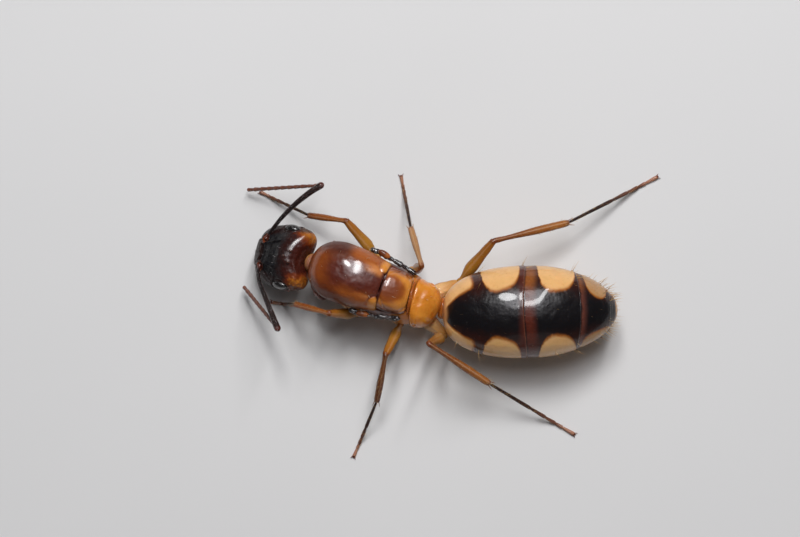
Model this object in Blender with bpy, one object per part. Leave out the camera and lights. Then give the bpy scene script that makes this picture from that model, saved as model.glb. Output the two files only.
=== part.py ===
"""A carpenter ant queen at life size, standing still, with each shell plate and limb segment a solid.

Sizes are in millimetres, and every mesh is made in metres. The thorax lies along X with the head towards -X,
the ant's right side is +Y, and the floor is Z = 0. At the end the whole ant is centred over the origin.
"""
import math

import bmesh
import bpy
from mathutils import Matrix, Vector

MM = 0.001
GAP = 0.03  # clearance between two pieces of shell that touch
UP = Vector((0.0, 0.0, 1.0))
BACK = Vector((1.0, 0.0, 0.0))

# The head: its axis runs from the occiput to the mouth, pitched down and turned a little to the left.
# Places on it are (along the axis, to the left, above), and are mirrored for the right.
HEAD_ORIGIN = (-3.16, 0.02, 2.67)
HEAD_YAW = 7.3
HEAD_PITCH = 35.0
HEAD_LENGTH = 3.0
# An outline is (size, where it is largest, bluntness before and after that).
HEAD_WIDTH = (1.36, 1.15, 2.6, 2.9)
HEAD_TOP = (0.86, 1.3, 2.5, 2.2)
HEAD_BOTTOM = (0.86, 1.1, 2.3, 2.0)
HEAD_SQUARENESS = 2.3
OCCIPUT_HOLLOW = 0.55
EYE_PLACE = (1.25, 1.2, 0.33)
EYE_HALF_SIZE = (0.38, 0.2, 0.3)
SOCKET_PLACE = (2.3, 0.6, 0.62)
MANDIBLE_BASE = (2.48, 0.74, -0.28)
MANDIBLE_TIP = (3.3, 0.16, -0.62)
MANDIBLE_BOW = (0.0, 0.2, 0.0)
MANDIBLE_RADII = (0.3, 0.34, 0.26)
SCAPE_LENGTH = 3.3
FUNICULUS_LENGTH = 3.8
SCAPE_RADII = (0.25, 0.26, 0.27)
FUNICULUS_RADII = (0.25, 0.25, 0.25)
# Azimuth and elevation in degrees of each scape and funiculus, and how far the scape bows at its middle.
FEELER_POSES = {
    "right": ((63.0, 12.0), (-159.0, -32.6), (-0.18, 0.10, 0.12)),
    "left": ((-53.8, 30.0), (148.7, -50.0), (-0.08, -0.06, 0.12)),
}

# The thorax is cut from egg-shaped forms. Each is start, end, then the outlines of its half width, of its
# height above and of its depth below the axis, and last the level of that axis.
PRONOTUM = (-3.22, -0.8, (1.38, -2.2, 2.2, 2.4), (0.9, -2.2, 2.2, 2.2), (0.8, -2.0, 1.9, 2.2), 2.30)
SCUTUM = (-3.36, 0.9, (1.28, -1.95, 2.2, 2.2), (1.3, -1.5, 2.1, 2.2), (0.7, -1.5, 2.0, 2.0), 2.96)
PLEURON = (-3.1, 2.2, (1.14, -0.9, 2.2, 2.4), (1.2, -0.6, 2.2, 2.4), (1.0, -0.4, 2.2, 2.4), 2.35)
SCUTELLUM = (-1.0, 1.3, (0.93, 0.2, 2.2, 3.0), (1.0, 0.0, 2.2, 2.1), (0.5, 0.0, 2.0, 2.0), 2.98)
METANOTUM = (0.0, 2.3, (0.92, 1.2, 2.2, 2.2), (1.2, 1.1, 2.2, 2.0), (0.7, 1.2, 2.0, 2.0), 2.35)
PROPODEUM = (-0.2, 2.45, (1.02, 1.5, 2.2, 2.4), (1.08, 1.2, 2.2, 2.2), (0.9, 1.3, 2.2, 2.2), 2.35)
NECK = (-3.52, -2.45, (0.48, -3.0, 2.0, 2.0), (0.40, -3.0, 2.0, 2.0), (0.42, -2.7, 2.0, 2.0), 2.16)
# The seams between its plates: a point of each, and the way that it faces.
RIM_SEAM = (Vector((-3.4, 0.0, 2.68)), Vector((-0.096, 0.0, 0.995)))
SCUTELLAR_SEAM = (Vector((-0.11, 0.0, 3.4)), Vector((0.99, 0.0, 0.12)))
PLEURAL_SEAM = (Vector((-2.2, 0.0, 2.0)), Vector((0.875, 0.0, 0.485)))
METANOTAL_SEAM = (Vector((1.2, 0.0, 3.1)), Vector((0.99, 0.0, 0.14)))
METANOTUM_THICKNESS = 0.2
WING_SCAR_FRONT = (-1.15, 1.36, 2.96)
WING_SCAR_REAR = (1.05, 0.98, 3.1)
WING_SCAR_BOW = 0.06
WING_SCAR_RADII = (0.2, 0.22, 0.16)

# The waist and the gaster, whose axis turns to the right of the thorax. Its seams, and where its outlines
# are largest, are shares of its length.
PETIOLE_PLACE = (2.56, 0.1, 1.86)
PETIOLE_HALF_SIZE = (0.22, 0.45, 0.55)
PETIOLE_SQUARENESS = 2.4
GASTER_ORIGIN = (2.6, -0.17, 2.45)
GASTER_YAW = 21.5
GASTER_DROOP = 3.0
GASTER_LENGTH = 7.45
GASTER_WIDTH = (1.96, 0.50, 2.4, 1.9)
GASTER_TOP = (1.75, 0.48, 2.3, 1.9)
GASTER_BOTTOM = (1.55, 0.45, 2.1, 1.9)
GASTER_SQUARENESS = 2.15
GASTER_SEAMS = (0.215, 0.45, 0.785, 0.95)

# Leg lengths by pair: coxa, femur with its trochanter, tibia and tarsus. The hips are the right side's.
LEG_LENGTHS = {
    "front": (1.40, 2.20, 1.93, 2.50),
    "middle": (0.95, 2.28, 2.32, 2.95),
    "hind": (1.30, 2.92, 3.58, 4.65),
}
HIPS = {"front": (-1.90, 0.62, 1.75), "middle": (0.35, 0.60, 1.50), "hind": (1.90, 0.50, 1.55)}
# Azimuth and elevation in degrees of the coxa, femur and tibia, then the azimuth of the tarsus.
LEG_POSES = {
    ("front", "right"): ((27, -20), (152.5, 21.7), (-170.6, -33.5), 173),
    ("front", "left"): ((-32, -10), (-157.8, 56.8), (-176.8, -39.5), -170),
    ("middle", "right"): ((50, -27), (35, 83), (125, -43), 120),
    ("middle", "left"): ((-31, -21), (-95, 47), (-81, -33), -93),
    ("hind", "right"): ((43, -18), (69, 40), (35, -23), 48),
    ("hind", "left"): ((-20, -20), (-127, 73), (-12, -33), -10),
}
# Radii of each leg segment at its start, at its thickest and at its end.
COXA_RADII = (0.33, 0.35, 0.27)
FEMUR_RADII = (0.25, 0.30, 0.25)
TIBIA_RADII = (0.25, 0.26, 0.25)
TARSUS_RADII = (0.25, 0.25, 0.25)
FOOT_SINK = 0.05  # how much of a tarsus the floor flattens
FOOT_REST = 0.20  # share of a tarsus that lies on the floor

FINISHES = {
    "black_shell": ((0.02, 0.012, 0.01), 0.25),
    "brown_shell": ((0.22, 0.06, 0.02), 0.25),
    "orange_shell": ((0.75, 0.30, 0.05), 0.3),
    "amber_leg": ((0.55, 0.26, 0.06), 0.35),
    "dark_leg": ((0.25, 0.09, 0.04), 0.4),
    "cream_coxa": ((0.78, 0.58, 0.30), 0.4),
    "eye": ((0.03, 0.025, 0.025), 0.2),
}


def add_collection(name, hidden=False):
    made = bpy.data.collections.new(name)
    bpy.context.scene.collection.children.link(made)
    made.hide_render = hidden
    return made


def finish(name):
    """The shell material of this name, made when it is first asked for."""
    if name in bpy.data.materials:
        return bpy.data.materials[name]
    colour, roughness = FINISHES[name]
    made = bpy.data.materials.new(name)
    made.use_nodes = True
    shader = made.node_tree.nodes["Principled BSDF"]
    shader.inputs["Base Color"].default_value = (*colour, 1.0)
    shader.inputs["Roughness"].default_value = roughness
    shader.inputs["Metallic"].default_value = 0.0
    return made


def add_object(name, bm, finish_name, frame=None, into=None):
    """An object in metres from a bmesh in millimetres, placed by a frame and parented to the ant."""
    bmesh.ops.scale(bm, vec=(MM, MM, MM), verts=bm.verts)
    mesh = bpy.data.meshes.new(name)
    bm.to_mesh(mesh)
    bm.free()
    mesh.materials.append(finish(finish_name))
    mesh.shade_smooth()
    mesh.set_sharp_from_angle(angle=math.radians(50))
    obj = bpy.data.objects.new(name, mesh)
    (into or PARTS).objects.link(obj)
    obj.parent = ANT
    if frame is not None:
        obj.location = frame.translation * MM
        obj.rotation_euler = frame.to_euler()
    return obj


def add_cutter(name, bm, frame=None):
    """A grown copy of a piece, which takes its socket out of the plates that hold it."""
    cutter = add_object(name, bm, "black_shell", frame, into=CUTTERS)
    cutter.hide_render = True
    cutter.display_type = "WIRE"
    return cutter


def cut_sockets(plate, cutters):
    for cutter in cutters:
        socket = plate.modifiers.new(cutter.name, "BOOLEAN")
        socket.operation = "DIFFERENCE"
        socket.solver = "EXACT"
        socket.object = cutter


def direction(azimuth, elevation):
    """A unit vector from two angles in degrees."""
    level = math.cos(math.radians(elevation))
    return Vector((
        math.cos(math.radians(azimuth)) * level,
        math.sin(math.radians(azimuth)) * level,
        math.sin(math.radians(elevation)),
    ))


def axis_frame(origin, forward):
    """A frame whose X is forward, whose Y is level and whose Z is the upper side."""
    side = UP.cross(forward).normalized()
    turn = Matrix((forward, side, forward.cross(side))).transposed()
    return Matrix.Translation(origin) @ turn.to_4x4()


def egg(x, start, end, widest, blunt_before, blunt_after):
    """The share of its full size that a round-ended outline has at x."""
    if x < widest:
        share, power = (widest - x) / (widest - start), blunt_before
    else:
        share, power = (x - widest) / (end - widest), blunt_after
    return max(0.0, 1.0 - min(share, 1.0) ** power) ** (1.0 / power)


def squared(value, squareness):
    """A sine or cosine bent so that a round section becomes a squarer one."""
    return math.copysign(abs(value) ** (2.0 / squareness), value)


def egg_form(start, end, width, top, bottom, level=0.0, grow=0.0, squareness=2.2, steps=(20, 12)):
    """A closed form along X, reshaped from a sphere by its outlines from above and from the side."""
    bm = bmesh.new()
    lie_down = Matrix.Rotation(math.pi / 2, 4, "Y")
    bmesh.ops.create_uvsphere(bm, u_segments=steps[0], v_segments=steps[1], radius=1.0, matrix=lie_down)
    for vert in bm.verts:
        x = start + (end - start) * (1.0 + vert.co.x) / 2.0
        radial = math.hypot(vert.co.y, vert.co.z)
        upright = top if vert.co.z > 0.0 else bottom
        across = width[0] * egg(x, start, end, *width[1:]) + grow * radial
        height = upright[0] * egg(x, start, end, *upright[1:]) + grow * radial
        if radial < 1e-4:
            across = height = radial = 0.0
        angle = math.atan2(vert.co.z, vert.co.y)
        vert.co = (
            x + grow * vert.co.x,
            across * squared(math.cos(angle), squareness),
            level + height * squared(math.sin(angle), squareness),
        )
    return bm


def oval(half_size, steps, grow=0.0, squareness=2.0):
    """A closed form about its own centre, with its half sizes along X, Y and Z."""
    long, wide, deep = half_size
    outlines = [(size, 0.0, 2.0, 2.0) for size in (wide, deep, deep)]
    return egg_form(-long, long, *outlines, grow=grow, squareness=squareness, steps=steps)


def cut_away(bm, point, outward, gap=GAP / 2.0):
    """Removes what lies past a plane, leaves a gap to it and closes the cut."""
    outward = outward.normalized()
    everything = bm.verts[:] + bm.edges[:] + bm.faces[:]
    found = bmesh.ops.bisect_plane(
        bm, geom=everything, plane_co=point - outward * gap, plane_no=outward, clear_outer=True, dist=1e-6
    )
    edges = [item for item in found["geom_cut"] if isinstance(item, bmesh.types.BMEdge)]
    if edges:
        bmesh.ops.contextual_create(bm, geom=edges)
    return bm


def bar(path, radii, grow=0.0, steps=3, sides=8):
    """A tapering bar with rounded ends that follows a path function of a share from 0 to 1."""
    start_radius, middle_radius, end_radius = (radius + grow for radius in radii)
    swell = middle_radius - (start_radius + end_radius) / 2.0
    cap = ((0.9, 0.45), (0.56, 0.86))  # how far past the end, and how thick there, as shares of the radius
    leave = (path(0.0) - path(0.02)).normalized()
    arrive = (path(1.0) - path(0.98)).normalized()
    stations = [(path(0.0) + leave * start_radius * past, start_radius * thick) for past, thick in cap]
    for step in range(steps + 2):
        share = step / (steps + 1)
        radius = start_radius + (end_radius - start_radius) * share + swell * math.sin(math.pi * share)
        stations.append((path(share), radius))
    for past, thick in reversed(cap):
        stations.append((path(1.0) + arrive * end_radius * past, end_radius * thick))

    curve = bpy.data.curves.new("bar", "CURVE")
    curve.dimensions = "3D"
    curve.bevel_depth = 1.0
    curve.bevel_resolution = sides // 2 - 2
    curve.use_fill_caps = True
    spline = curve.splines.new("POLY")
    spline.points.add(len(stations) - 1)
    for point, (place, radius) in zip(spline.points, stations):
        point.co = (*place, 1.0)
        point.radius = radius
    guide = bpy.data.objects.new("bar", curve)
    bpy.context.scene.collection.objects.link(guide)
    mesh = bpy.data.meshes.new_from_object(guide.evaluated_get(bpy.context.evaluated_depsgraph_get()))
    bpy.data.objects.remove(guide, do_unlink=True)
    bm = bmesh.new()
    bm.from_mesh(mesh)
    bpy.data.meshes.remove(mesh)
    bmesh.ops.remove_doubles(bm, verts=bm.verts, dist=1e-5)
    return bm


def straight(start, end, bow=(0.0, 0.0, 0.0)):
    """A path from start to end that bows by a vector at its middle."""
    return lambda share: start.lerp(end, share) + Vector(bow) * (4.0 * share * (1.0 - share))


def mitre(bm, joint, own_way, other_way):
    """Cuts a limb at the plane that halves the bend at a joint, where both ways lead away from the joint."""
    return cut_away(bm, joint, other_way - own_way)


def mirrored(place, side):
    """A place given for the side of +Y, on either side."""
    return Vector((place[0], place[1] if side > 0 else -place[1], place[2]))


def build_head():
    """The capsule with its hollow occiput, the eyes, the mandibles and the feelers."""
    forward = direction(180.0 + HEAD_YAW, -HEAD_PITCH)
    frame = axis_frame(HEAD_ORIGIN, forward)
    outlines = (HEAD_WIDTH, HEAD_TOP, HEAD_BOTTOM)
    capsule = egg_form(0.0, HEAD_LENGTH, *outlines, squareness=HEAD_SQUARENESS, steps=(24, 14))
    for vert in capsule.verts:
        inner = max(0.0, 1.0 - (vert.co.y / HEAD_WIDTH[0]) ** 2)
        vert.co.x += OCCIPUT_HOLLOW * inner ** 2 * (1.0 - vert.co.x / HEAD_LENGTH) ** 3
    head = add_object("head", capsule, "black_shell", frame)

    for name, sign in (("left", 1.0), ("right", -1.0)):
        place = frame @ Matrix.Translation(mirrored(EYE_PLACE, sign))
        add_object(f"eye_{name}", oval(EYE_HALF_SIZE, (12, 8)), "eye", place)
        cut_sockets(head, [add_cutter(f"eye_{name}_socket", oval(EYE_HALF_SIZE, (12, 8), GAP), place)])

        base, tip = mirrored(MANDIBLE_BASE, sign), mirrored(MANDIBLE_TIP, sign)
        jaw = straight(base, tip, mirrored(MANDIBLE_BOW, sign))
        mandible = bar(jaw, MANDIBLE_RADII, steps=2)
        cut_away(mandible, Vector((0.0, 0.0, 0.0)), Vector((0.0, -sign, 0.0)))
        add_object(f"mandible_{name}", mandible, "black_shell", frame)
        cut_sockets(head, [add_cutter(f"mandible_{name}_socket", bar(jaw, MANDIBLE_RADII, GAP, 2), frame)])

        scape_angles, funiculus_angles, bow = FEELER_POSES[name]
        scape_way, funiculus_way = direction(*scape_angles), direction(*funiculus_angles)
        socket = frame @ mirrored(SOCKET_PLACE, sign)
        elbow = socket + scape_way * SCAPE_LENGTH
        tip = elbow + funiculus_way * FUNICULUS_LENGTH
        arm = straight(socket, elbow, bow)
        scape = mitre(bar(arm, SCAPE_RADII, steps=4), elbow, -scape_way, funiculus_way)
        whip = mitre(bar(straight(elbow, tip), FUNICULUS_RADII, steps=2), elbow, funiculus_way, -scape_way)
        add_object(f"scape_{name}", scape, "black_shell")
        add_object(f"funiculus_{name}", whip, "dark_leg")
        cut_sockets(head, [add_cutter(f"scape_{name}_socket", bar(arm, SCAPE_RADII, GAP, 4))])
    return head


def build_leg(pair, side):
    """The coxa, femur, tibia and tarsus of a leg. Returns the cutter for the coxa's socket."""
    coxa_length, femur_length, tibia_length, tarsus_length = LEG_LENGTHS[pair]
    coxa_angles, femur_angles, tibia_angles, tarsus_azimuth = LEG_POSES[pair, side]
    coxa_way = direction(*coxa_angles)
    femur_way = direction(*femur_angles)
    tibia_way = direction(*tibia_angles)
    hip = mirrored(HIPS[pair], 1.0 if side == "right" else -1.0)
    coxa_end = hip + coxa_way * coxa_length
    knee = coxa_end + femur_way * femur_length
    ankle = knee + tibia_way * tibia_length

    drop = ankle.z - (TARSUS_RADII[2] - FOOT_SINK)
    slant = tarsus_length * (1.0 - FOOT_REST)
    level_way = direction(tarsus_azimuth, 0.0)
    touch = ankle + level_way * math.sqrt(slant ** 2 - drop ** 2) - UP * drop
    toe = touch + level_way * tarsus_length * FOOT_REST
    tarsus_way = (touch - ankle).normalized()

    def tarsus_path(share):
        along = share * tarsus_length
        return ankle + tarsus_way * along if along < slant else touch + level_way * (along - slant)

    name = f"{side}_{pair}"
    coxa = mitre(bar(straight(hip, coxa_end), COXA_RADII, steps=2), coxa_end, -coxa_way, femur_way)
    femur = mitre(bar(straight(coxa_end, knee), FEMUR_RADII), coxa_end, femur_way, -coxa_way)
    mitre(femur, knee, -femur_way, tibia_way)
    tibia = mitre(bar(straight(knee, ankle), TIBIA_RADII, steps=2), knee, tibia_way, -femur_way)
    mitre(tibia, ankle, -tibia_way, tarsus_way)
    tarsus = mitre(bar(tarsus_path, TARSUS_RADII, steps=6), ankle, tarsus_way, -tibia_way)
    cut_away(tarsus, Vector((0.0, 0.0, 0.0)), -UP, gap=0.0)
    add_object(f"coxa_{name}", coxa, "cream_coxa")
    add_object(f"femur_{name}", femur, "amber_leg")
    add_object(f"tibia_{name}", tibia, "dark_leg")
    add_object(f"tarsus_{name}", tarsus, "dark_leg")
    return add_cutter(f"coxa_{name}_socket", bar(straight(hip, coxa_end), COXA_RADII, GAP, 2))


def build_thorax(head, coxa_sockets):
    """The neck, the plates of the thorax and the scars of the wings."""
    metanotum_back = (METANOTAL_SEAM[0] + METANOTAL_SEAM[1] * METANOTUM_THICKNESS, METANOTAL_SEAM[1])

    def plate(name, form, finish_name, *cuts):
        """A plate cut from its form by seams, each with the side of it (1 or -1) that is cut away."""
        bm = egg_form(*form)
        for (point, way), past in cuts:
            cut_away(bm, point, way * past)
        return add_object(name, bm, finish_name)

    scars = []
    for name, sign in (("right", 1.0), ("left", -1.0)):
        bow = (0.0, sign * WING_SCAR_BOW, 0.0)
        line = straight(mirrored(WING_SCAR_FRONT, sign), mirrored(WING_SCAR_REAR, sign), bow)
        add_object(f"wing_scar_{name}", bar(line, WING_SCAR_RADII, steps=2), "black_shell")
        scars.append(add_cutter(f"wing_scar_{name}_socket", bar(line, WING_SCAR_RADII, GAP, 2)))

    neck = plate("neck", NECK, "brown_shell")
    neck_socket = add_cutter("neck_socket", egg_form(*NECK, grow=GAP))
    pronotum = plate("pronotum", PRONOTUM, "brown_shell", (RIM_SEAM, 1), (PLEURAL_SEAM, 1))
    scutum = plate("scutum", SCUTUM, "brown_shell", (RIM_SEAM, -1), (SCUTELLAR_SEAM, 1))
    pleuron = plate("pleuron", PLEURON, "brown_shell", (RIM_SEAM, 1), (PLEURAL_SEAM, -1), (metanotum_back, 1))
    rear_cuts = (RIM_SEAM, -1), (SCUTELLAR_SEAM, -1), (METANOTAL_SEAM, 1)
    scutellum = plate("scutellum", SCUTELLUM, "brown_shell", *rear_cuts)
    narrow_cuts = (RIM_SEAM, -1), (METANOTAL_SEAM, -1), (metanotum_back, 1)
    metanotum = plate("metanotum", METANOTUM, "brown_shell", *narrow_cuts)
    propodeum = plate("propodeum", PROPODEUM, "orange_shell", (metanotum_back, -1))
    cut_sockets(head, [neck_socket])
    cut_sockets(neck, coxa_sockets["front"])
    cut_sockets(pronotum, [neck_socket] + coxa_sockets["front"])
    cut_sockets(pleuron, scars + coxa_sockets["front"] + coxa_sockets["middle"] + coxa_sockets["hind"])
    cut_sockets(scutum, scars)
    cut_sockets(scutellum, scars)
    cut_sockets(metanotum, scars)
    cut_sockets(propodeum, scars + coxa_sockets["middle"] + coxa_sockets["hind"])
    return propodeum


def build_abdomen(propodeum):
    """The petiole's scale and the five plates of the gaster."""
    forward = direction(GASTER_YAW, -GASTER_DROOP)
    frame = axis_frame(GASTER_ORIGIN, forward)
    scale_frame = axis_frame(PETIOLE_PLACE, direction(GASTER_YAW / 2.0, 0.0))
    scale = oval(PETIOLE_HALF_SIZE, (16, 8), 0.0, PETIOLE_SQUARENESS)
    add_object("petiole", scale, "orange_shell", scale_frame)
    grown_scale = oval(PETIOLE_HALF_SIZE, (16, 8), GAP, PETIOLE_SQUARENESS)
    scale_socket = add_cutter("petiole_socket", grown_scale, scale_frame)
    cut_sockets(propodeum, [scale_socket])

    outlines = [
        (size, GASTER_LENGTH * widest, before, after)
        for size, widest, before, after in (GASTER_WIDTH, GASTER_TOP, GASTER_BOTTOM)
    ]
    bounds = (None, *GASTER_SEAMS, None)
    for number, (front, rear) in enumerate(zip(bounds, bounds[1:]), start=1):
        tergite = egg_form(0.0, GASTER_LENGTH, *outlines, squareness=GASTER_SQUARENESS, steps=(20, 18))
        if front is not None:
            cut_away(tergite, BACK * GASTER_LENGTH * front, -BACK)
        if rear is not None:
            cut_away(tergite, BACK * GASTER_LENGTH * rear, BACK)
        plate = add_object(f"gaster_plate_{number}", tergite, "black_shell", frame)
        if number == 1:
            cut_sockets(plate, [scale_socket])


def centre_on_floor():
    """Moves the ant so that its box is centred over the origin."""
    bpy.context.view_layer.update()
    plates = [obj for obj in PARTS.objects if obj.type == "MESH"]
    corners = [plate.matrix_world @ vert.co for plate in plates for vert in plate.data.vertices]
    ANT.location.x = -(min(c.x for c in corners) + max(c.x for c in corners)) / 2.0
    ANT.location.y = -(min(c.y for c in corners) + max(c.y for c in corners)) / 2.0


for old in list(bpy.data.objects):
    bpy.data.objects.remove(old, do_unlink=True)
PARTS = add_collection("carpenter_ant_queen")
CUTTERS = add_collection("socket_cutters", hidden=True)
ANT = bpy.data.objects.new("ant", None)
PARTS.objects.link(ANT)
build_abdomen(build_thorax(
    build_head(),
    {pair: [build_leg(pair, side) for side in ("right", "left")] for pair in LEG_LENGTHS},
))
centre_on_floor()
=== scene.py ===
"""A carpenter ant queen at life size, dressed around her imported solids.

Sizes are in millimetres, in the thorax's own frame or in the frame of the part that they belong to, and
meshes are made in metres. The thorax lies along X with the head towards -X, the ant's right side is +Y,
and the floor is Z = 0. The head's frame looks the other way, so there the ant's left side is +Y.
"""
import math

import bmesh
import bpy
import numpy as np
from mathutils import Matrix, Vector


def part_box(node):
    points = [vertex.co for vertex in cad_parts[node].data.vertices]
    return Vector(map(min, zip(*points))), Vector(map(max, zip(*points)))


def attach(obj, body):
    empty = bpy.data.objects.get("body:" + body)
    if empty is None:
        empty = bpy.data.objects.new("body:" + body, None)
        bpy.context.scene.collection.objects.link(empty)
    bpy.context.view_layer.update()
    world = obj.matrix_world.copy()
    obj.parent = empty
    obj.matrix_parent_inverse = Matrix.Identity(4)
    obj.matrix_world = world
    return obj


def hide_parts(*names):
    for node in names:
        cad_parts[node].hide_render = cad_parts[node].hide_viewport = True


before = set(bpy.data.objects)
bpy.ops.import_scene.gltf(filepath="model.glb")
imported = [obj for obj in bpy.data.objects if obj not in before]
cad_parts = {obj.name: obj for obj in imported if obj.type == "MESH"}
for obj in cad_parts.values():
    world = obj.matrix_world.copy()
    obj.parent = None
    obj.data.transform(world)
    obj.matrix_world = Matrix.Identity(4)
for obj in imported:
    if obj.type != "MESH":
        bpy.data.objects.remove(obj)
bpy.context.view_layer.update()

MM = 0.001
UP = Vector((0.0, 0.0, 1.0))
SIDES = (("right", 1.0), ("left", -1.0))

# An outline is (size, where it is largest, bluntness before and after that).
# A form is start, end, the outlines of its half width, height and depth, and the level of its axis.
HEAD_PLACE = (-3.16, 0.02, 2.67)
HEAD_YAW = 7.3
HEAD_PITCH = 35.0
HEAD_FORM = (0.0, 3.0, (1.36, 1.15, 2.6, 2.9), (0.86, 1.3, 2.5, 2.2), (0.86, 1.1, 2.3, 2.0), 0.0)
HEAD_SQUARENESS = 2.3
OCCIPUT_HOLLOW = 0.55
EYE_PLACE = (1.25, 1.2, 0.33)
EYE_HALF_SIZE = (0.38, 0.2, 0.3)
SOCKET_PLACE = (2.3, 0.6, 0.62)
SOCKET_RADIUS = 0.17
OCELLI = ((0.98, 0.0), (0.72, 0.24), (0.72, -0.24))
OCELLUS_HEIGHTS = (0.96, 0.90, 0.90)
OCELLUS_RADIUS = 0.06
MANDIBLE_PIVOT = (2.48, 0.06)  # what its outer margin curves round
MANDIBLE_REACH = 0.93
MANDIBLE_GAP = 0.05
TOOTH_SPACING = 0.11
TOOTH_HEIGHT = 0.03
FACE_SHIELD = (2.95, 0.72, 0.62)  # its middle, half length and half width
# A palp is three places along it, its radius and how many joints it shows.
PALPS = (
    ((2.35, 0.26, -0.72), (1.9, 0.5, -1.02), (1.2, 0.42, -0.92), 0.045, 5),
    ((2.45, 0.1, -0.66), (2.15, 0.16, -0.9), (1.75, 0.14, -0.86), 0.035, 3),
)
SCAPE_LENGTH = 3.3
FUNICULUS_LENGTH = 3.8
FLAGELLOMERES = 11
FEELER_POSES = {
    "right": ((63.0, 12.0), (-159.0, -32.6), (-0.18, 0.10, 0.12)),
    "left": ((-53.8, 30.0), (148.7, -50.0), (-0.08, -0.06, 0.12)),
}
SCAPE_CROOKS = {"right": (0.0, 0.0, 0.0), "left": (-0.15, -0.055, 0.0)}  # near its root

PRONOTUM = (-3.22, -0.8, (1.38, -2.2, 2.2, 2.4), (0.9, -2.2, 2.2, 2.2), (0.8, -2.0, 1.9, 2.2), 2.30)
SCUTUM = (-3.36, 0.9, (1.28, -1.95, 2.2, 2.2), (1.3, -1.5, 2.1, 2.2), (0.7, -1.5, 2.0, 2.0), 2.96)
PLEURON = (-3.1, 2.2, (1.14, -0.9, 2.2, 2.4), (1.2, -0.6, 2.2, 2.4), (1.0, -0.4, 2.2, 2.4), 2.35)
SCUTELLUM = (-1.0, 1.3, (0.93, 0.2, 2.2, 3.0), (1.02, 0.0, 2.2, 2.1), (0.5, 0.0, 2.0, 2.0), 2.98)
METANOTUM = (0.0, 2.3, (0.92, 1.2, 2.2, 2.2), (1.2, 1.1, 2.2, 2.0), (0.7, 1.2, 2.0, 2.0), 2.35)
PROPODEUM = (-0.2, 2.45, (1.02, 1.5, 2.2, 2.4), (1.08, 1.2, 2.2, 2.2), (0.9, 1.3, 2.2, 2.2), 2.35)
PROPODEUM_TURN = math.radians(5.5)
PROPODEUM_SHIFT = 0.06
NECK = (-3.62, -2.45, (0.46, -3.1, 2.0, 2.0), (0.56, -3.0, 2.0, 2.0), (0.42, -2.7, 2.0, 2.0), 2.16)
# A seam is a point of it and the way that it faces.
RIM_SEAM = (np.array((-3.4, 0.0, 2.68)), np.array((-0.096, 0.0, 0.995)))
SCUTELLAR_SEAM = (np.array((-0.11, 0.0, 3.4)), np.array((0.993, 0.0, 0.12)))
PLEURAL_SEAM = (np.array((-2.2, 0.0, 2.0)), np.array((0.875, 0.0, 0.485)))
METANOTAL_SEAM = (np.array((1.12, 0.05, 3.1)), np.array((0.984, 0.10, 0.14)))
SEAM_GAP = 0.008
METANOTUM_THICKNESS = 0.12
SCUTELLUM_LIP = 0.05
WING_SCAR_FRONT = (-1.15, 1.36, 2.96)
WING_SCAR_REAR = (1.05, 0.98, 3.1)
STUMP_RADIUS = 0.1
STUMP_LUMPS = 13
TEGULA_PLACE = (-0.52, 1.34, 3.06)
TEGULA_HALF_SIZE = (0.3, 0.14, 0.13)

PETIOLE_PLACE = (2.56, 0.1, 1.86)
PETIOLE_HALF_SIZE = (0.22, 0.45, 0.55)
GASTER_PLACE = (2.6, -0.17, 2.45)
GASTER_YAW = 21.5
GASTER_DROOP = 3.0
GASTER_ROLL = 5.0
GASTER_LENGTH = 7.45
GASTER_FORM = (0.0, 7.45, (1.96, 3.725, 2.4, 1.9), (1.75, 4.0, 2.3, 1.9), (1.55, 3.3525, 2.1, 1.9), 0.0)
GASTER_SQUARENESS = 2.15
GASTER_SEAMS = (0.215, 0.45, 0.785, 0.965)
GASTER_SEAM_BOWS = (0.0, 0.18, -0.24, -0.30)  # how far back each seam lies at the sides
GASTER_BOWS = (0.0, *GASTER_SEAM_BOWS, 0.0)
BOW_WIDTH = 1.9  # how far aside a seam lies as far back as its bow says
CUP_RADIUS = 1.7  # of the hollow at the rear of a ring
RIM_SHARPNESS = math.radians(32.0)
# The middle and half length of each ring's patches along the gaster, and how far up its side they reach.
GASTER_PATCHES = {2: (0.334, 0.112, 0.53), 3: (0.648, 0.110, 0.50), 4: (0.862, 0.068, 0.49)}
# Where each ring's translucent front starts, how far it reaches and how far at full strength, and its red.
GASTER_VEILS = {
    3: (0.452, 0.082, 0.0328, (0.105, 0.02, 0.01)),
    4: (0.778, 0.046, 0.0, (0.15, 0.045, 0.03)),
}

LEG_LENGTHS = {
    "front": (1.40, 2.20, 1.93, 2.50),
    "middle": (0.95, 2.28, 2.32, 2.95),
    "hind": (1.30, 2.92, 3.58, 4.65),
}
HIPS = {"front": (-1.90, 0.62, 1.75), "middle": (0.35, 0.60, 1.50), "hind": (1.90, 0.50, 1.55)}
LEG_POSES = {
    ("front", "right"): ((27, -20), (152.5, 21.7), (-170.6, -33.5), 173),
    ("front", "left"): ((-32, -10), (-157.8, 56.8), (-176.8, -39.5), -170),
    ("middle", "right"): ((50, -27), (35, 83), (125, -43), 120),
    ("middle", "left"): ((-31, -21), (-95, 47), (-81, -33), -93),
    ("hind", "right"): ((43, -18), (69, 40), (35, -23), 48),
    ("hind", "left"): ((-20, -20), (-127, 73), (-12, -33), -10),
}
ANKLE_DROP = 0.20  # the solids' ankles lead to a tarsus whose axis lies this high on the floor
FOOT_REST = 0.20  # the share of a foot that lies on the floor
FOOT_HEIGHT = 0.085
TARSOMERE_LENGTHS = (0.50, 0.18, 0.12, 0.08, 0.12)
TARSOMERE_THICKNESSES = (0.15, 0.155, 0.15, 0.145, 0.15)
THIGHS = {"front": 0.24, "middle": 0.23, "hind": 0.26}
SHINS = {"front": 0.14, "middle": 0.145, "hind": 0.165}
SPIKE_RADIUS = 0.022  # of spurs and claws
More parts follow.
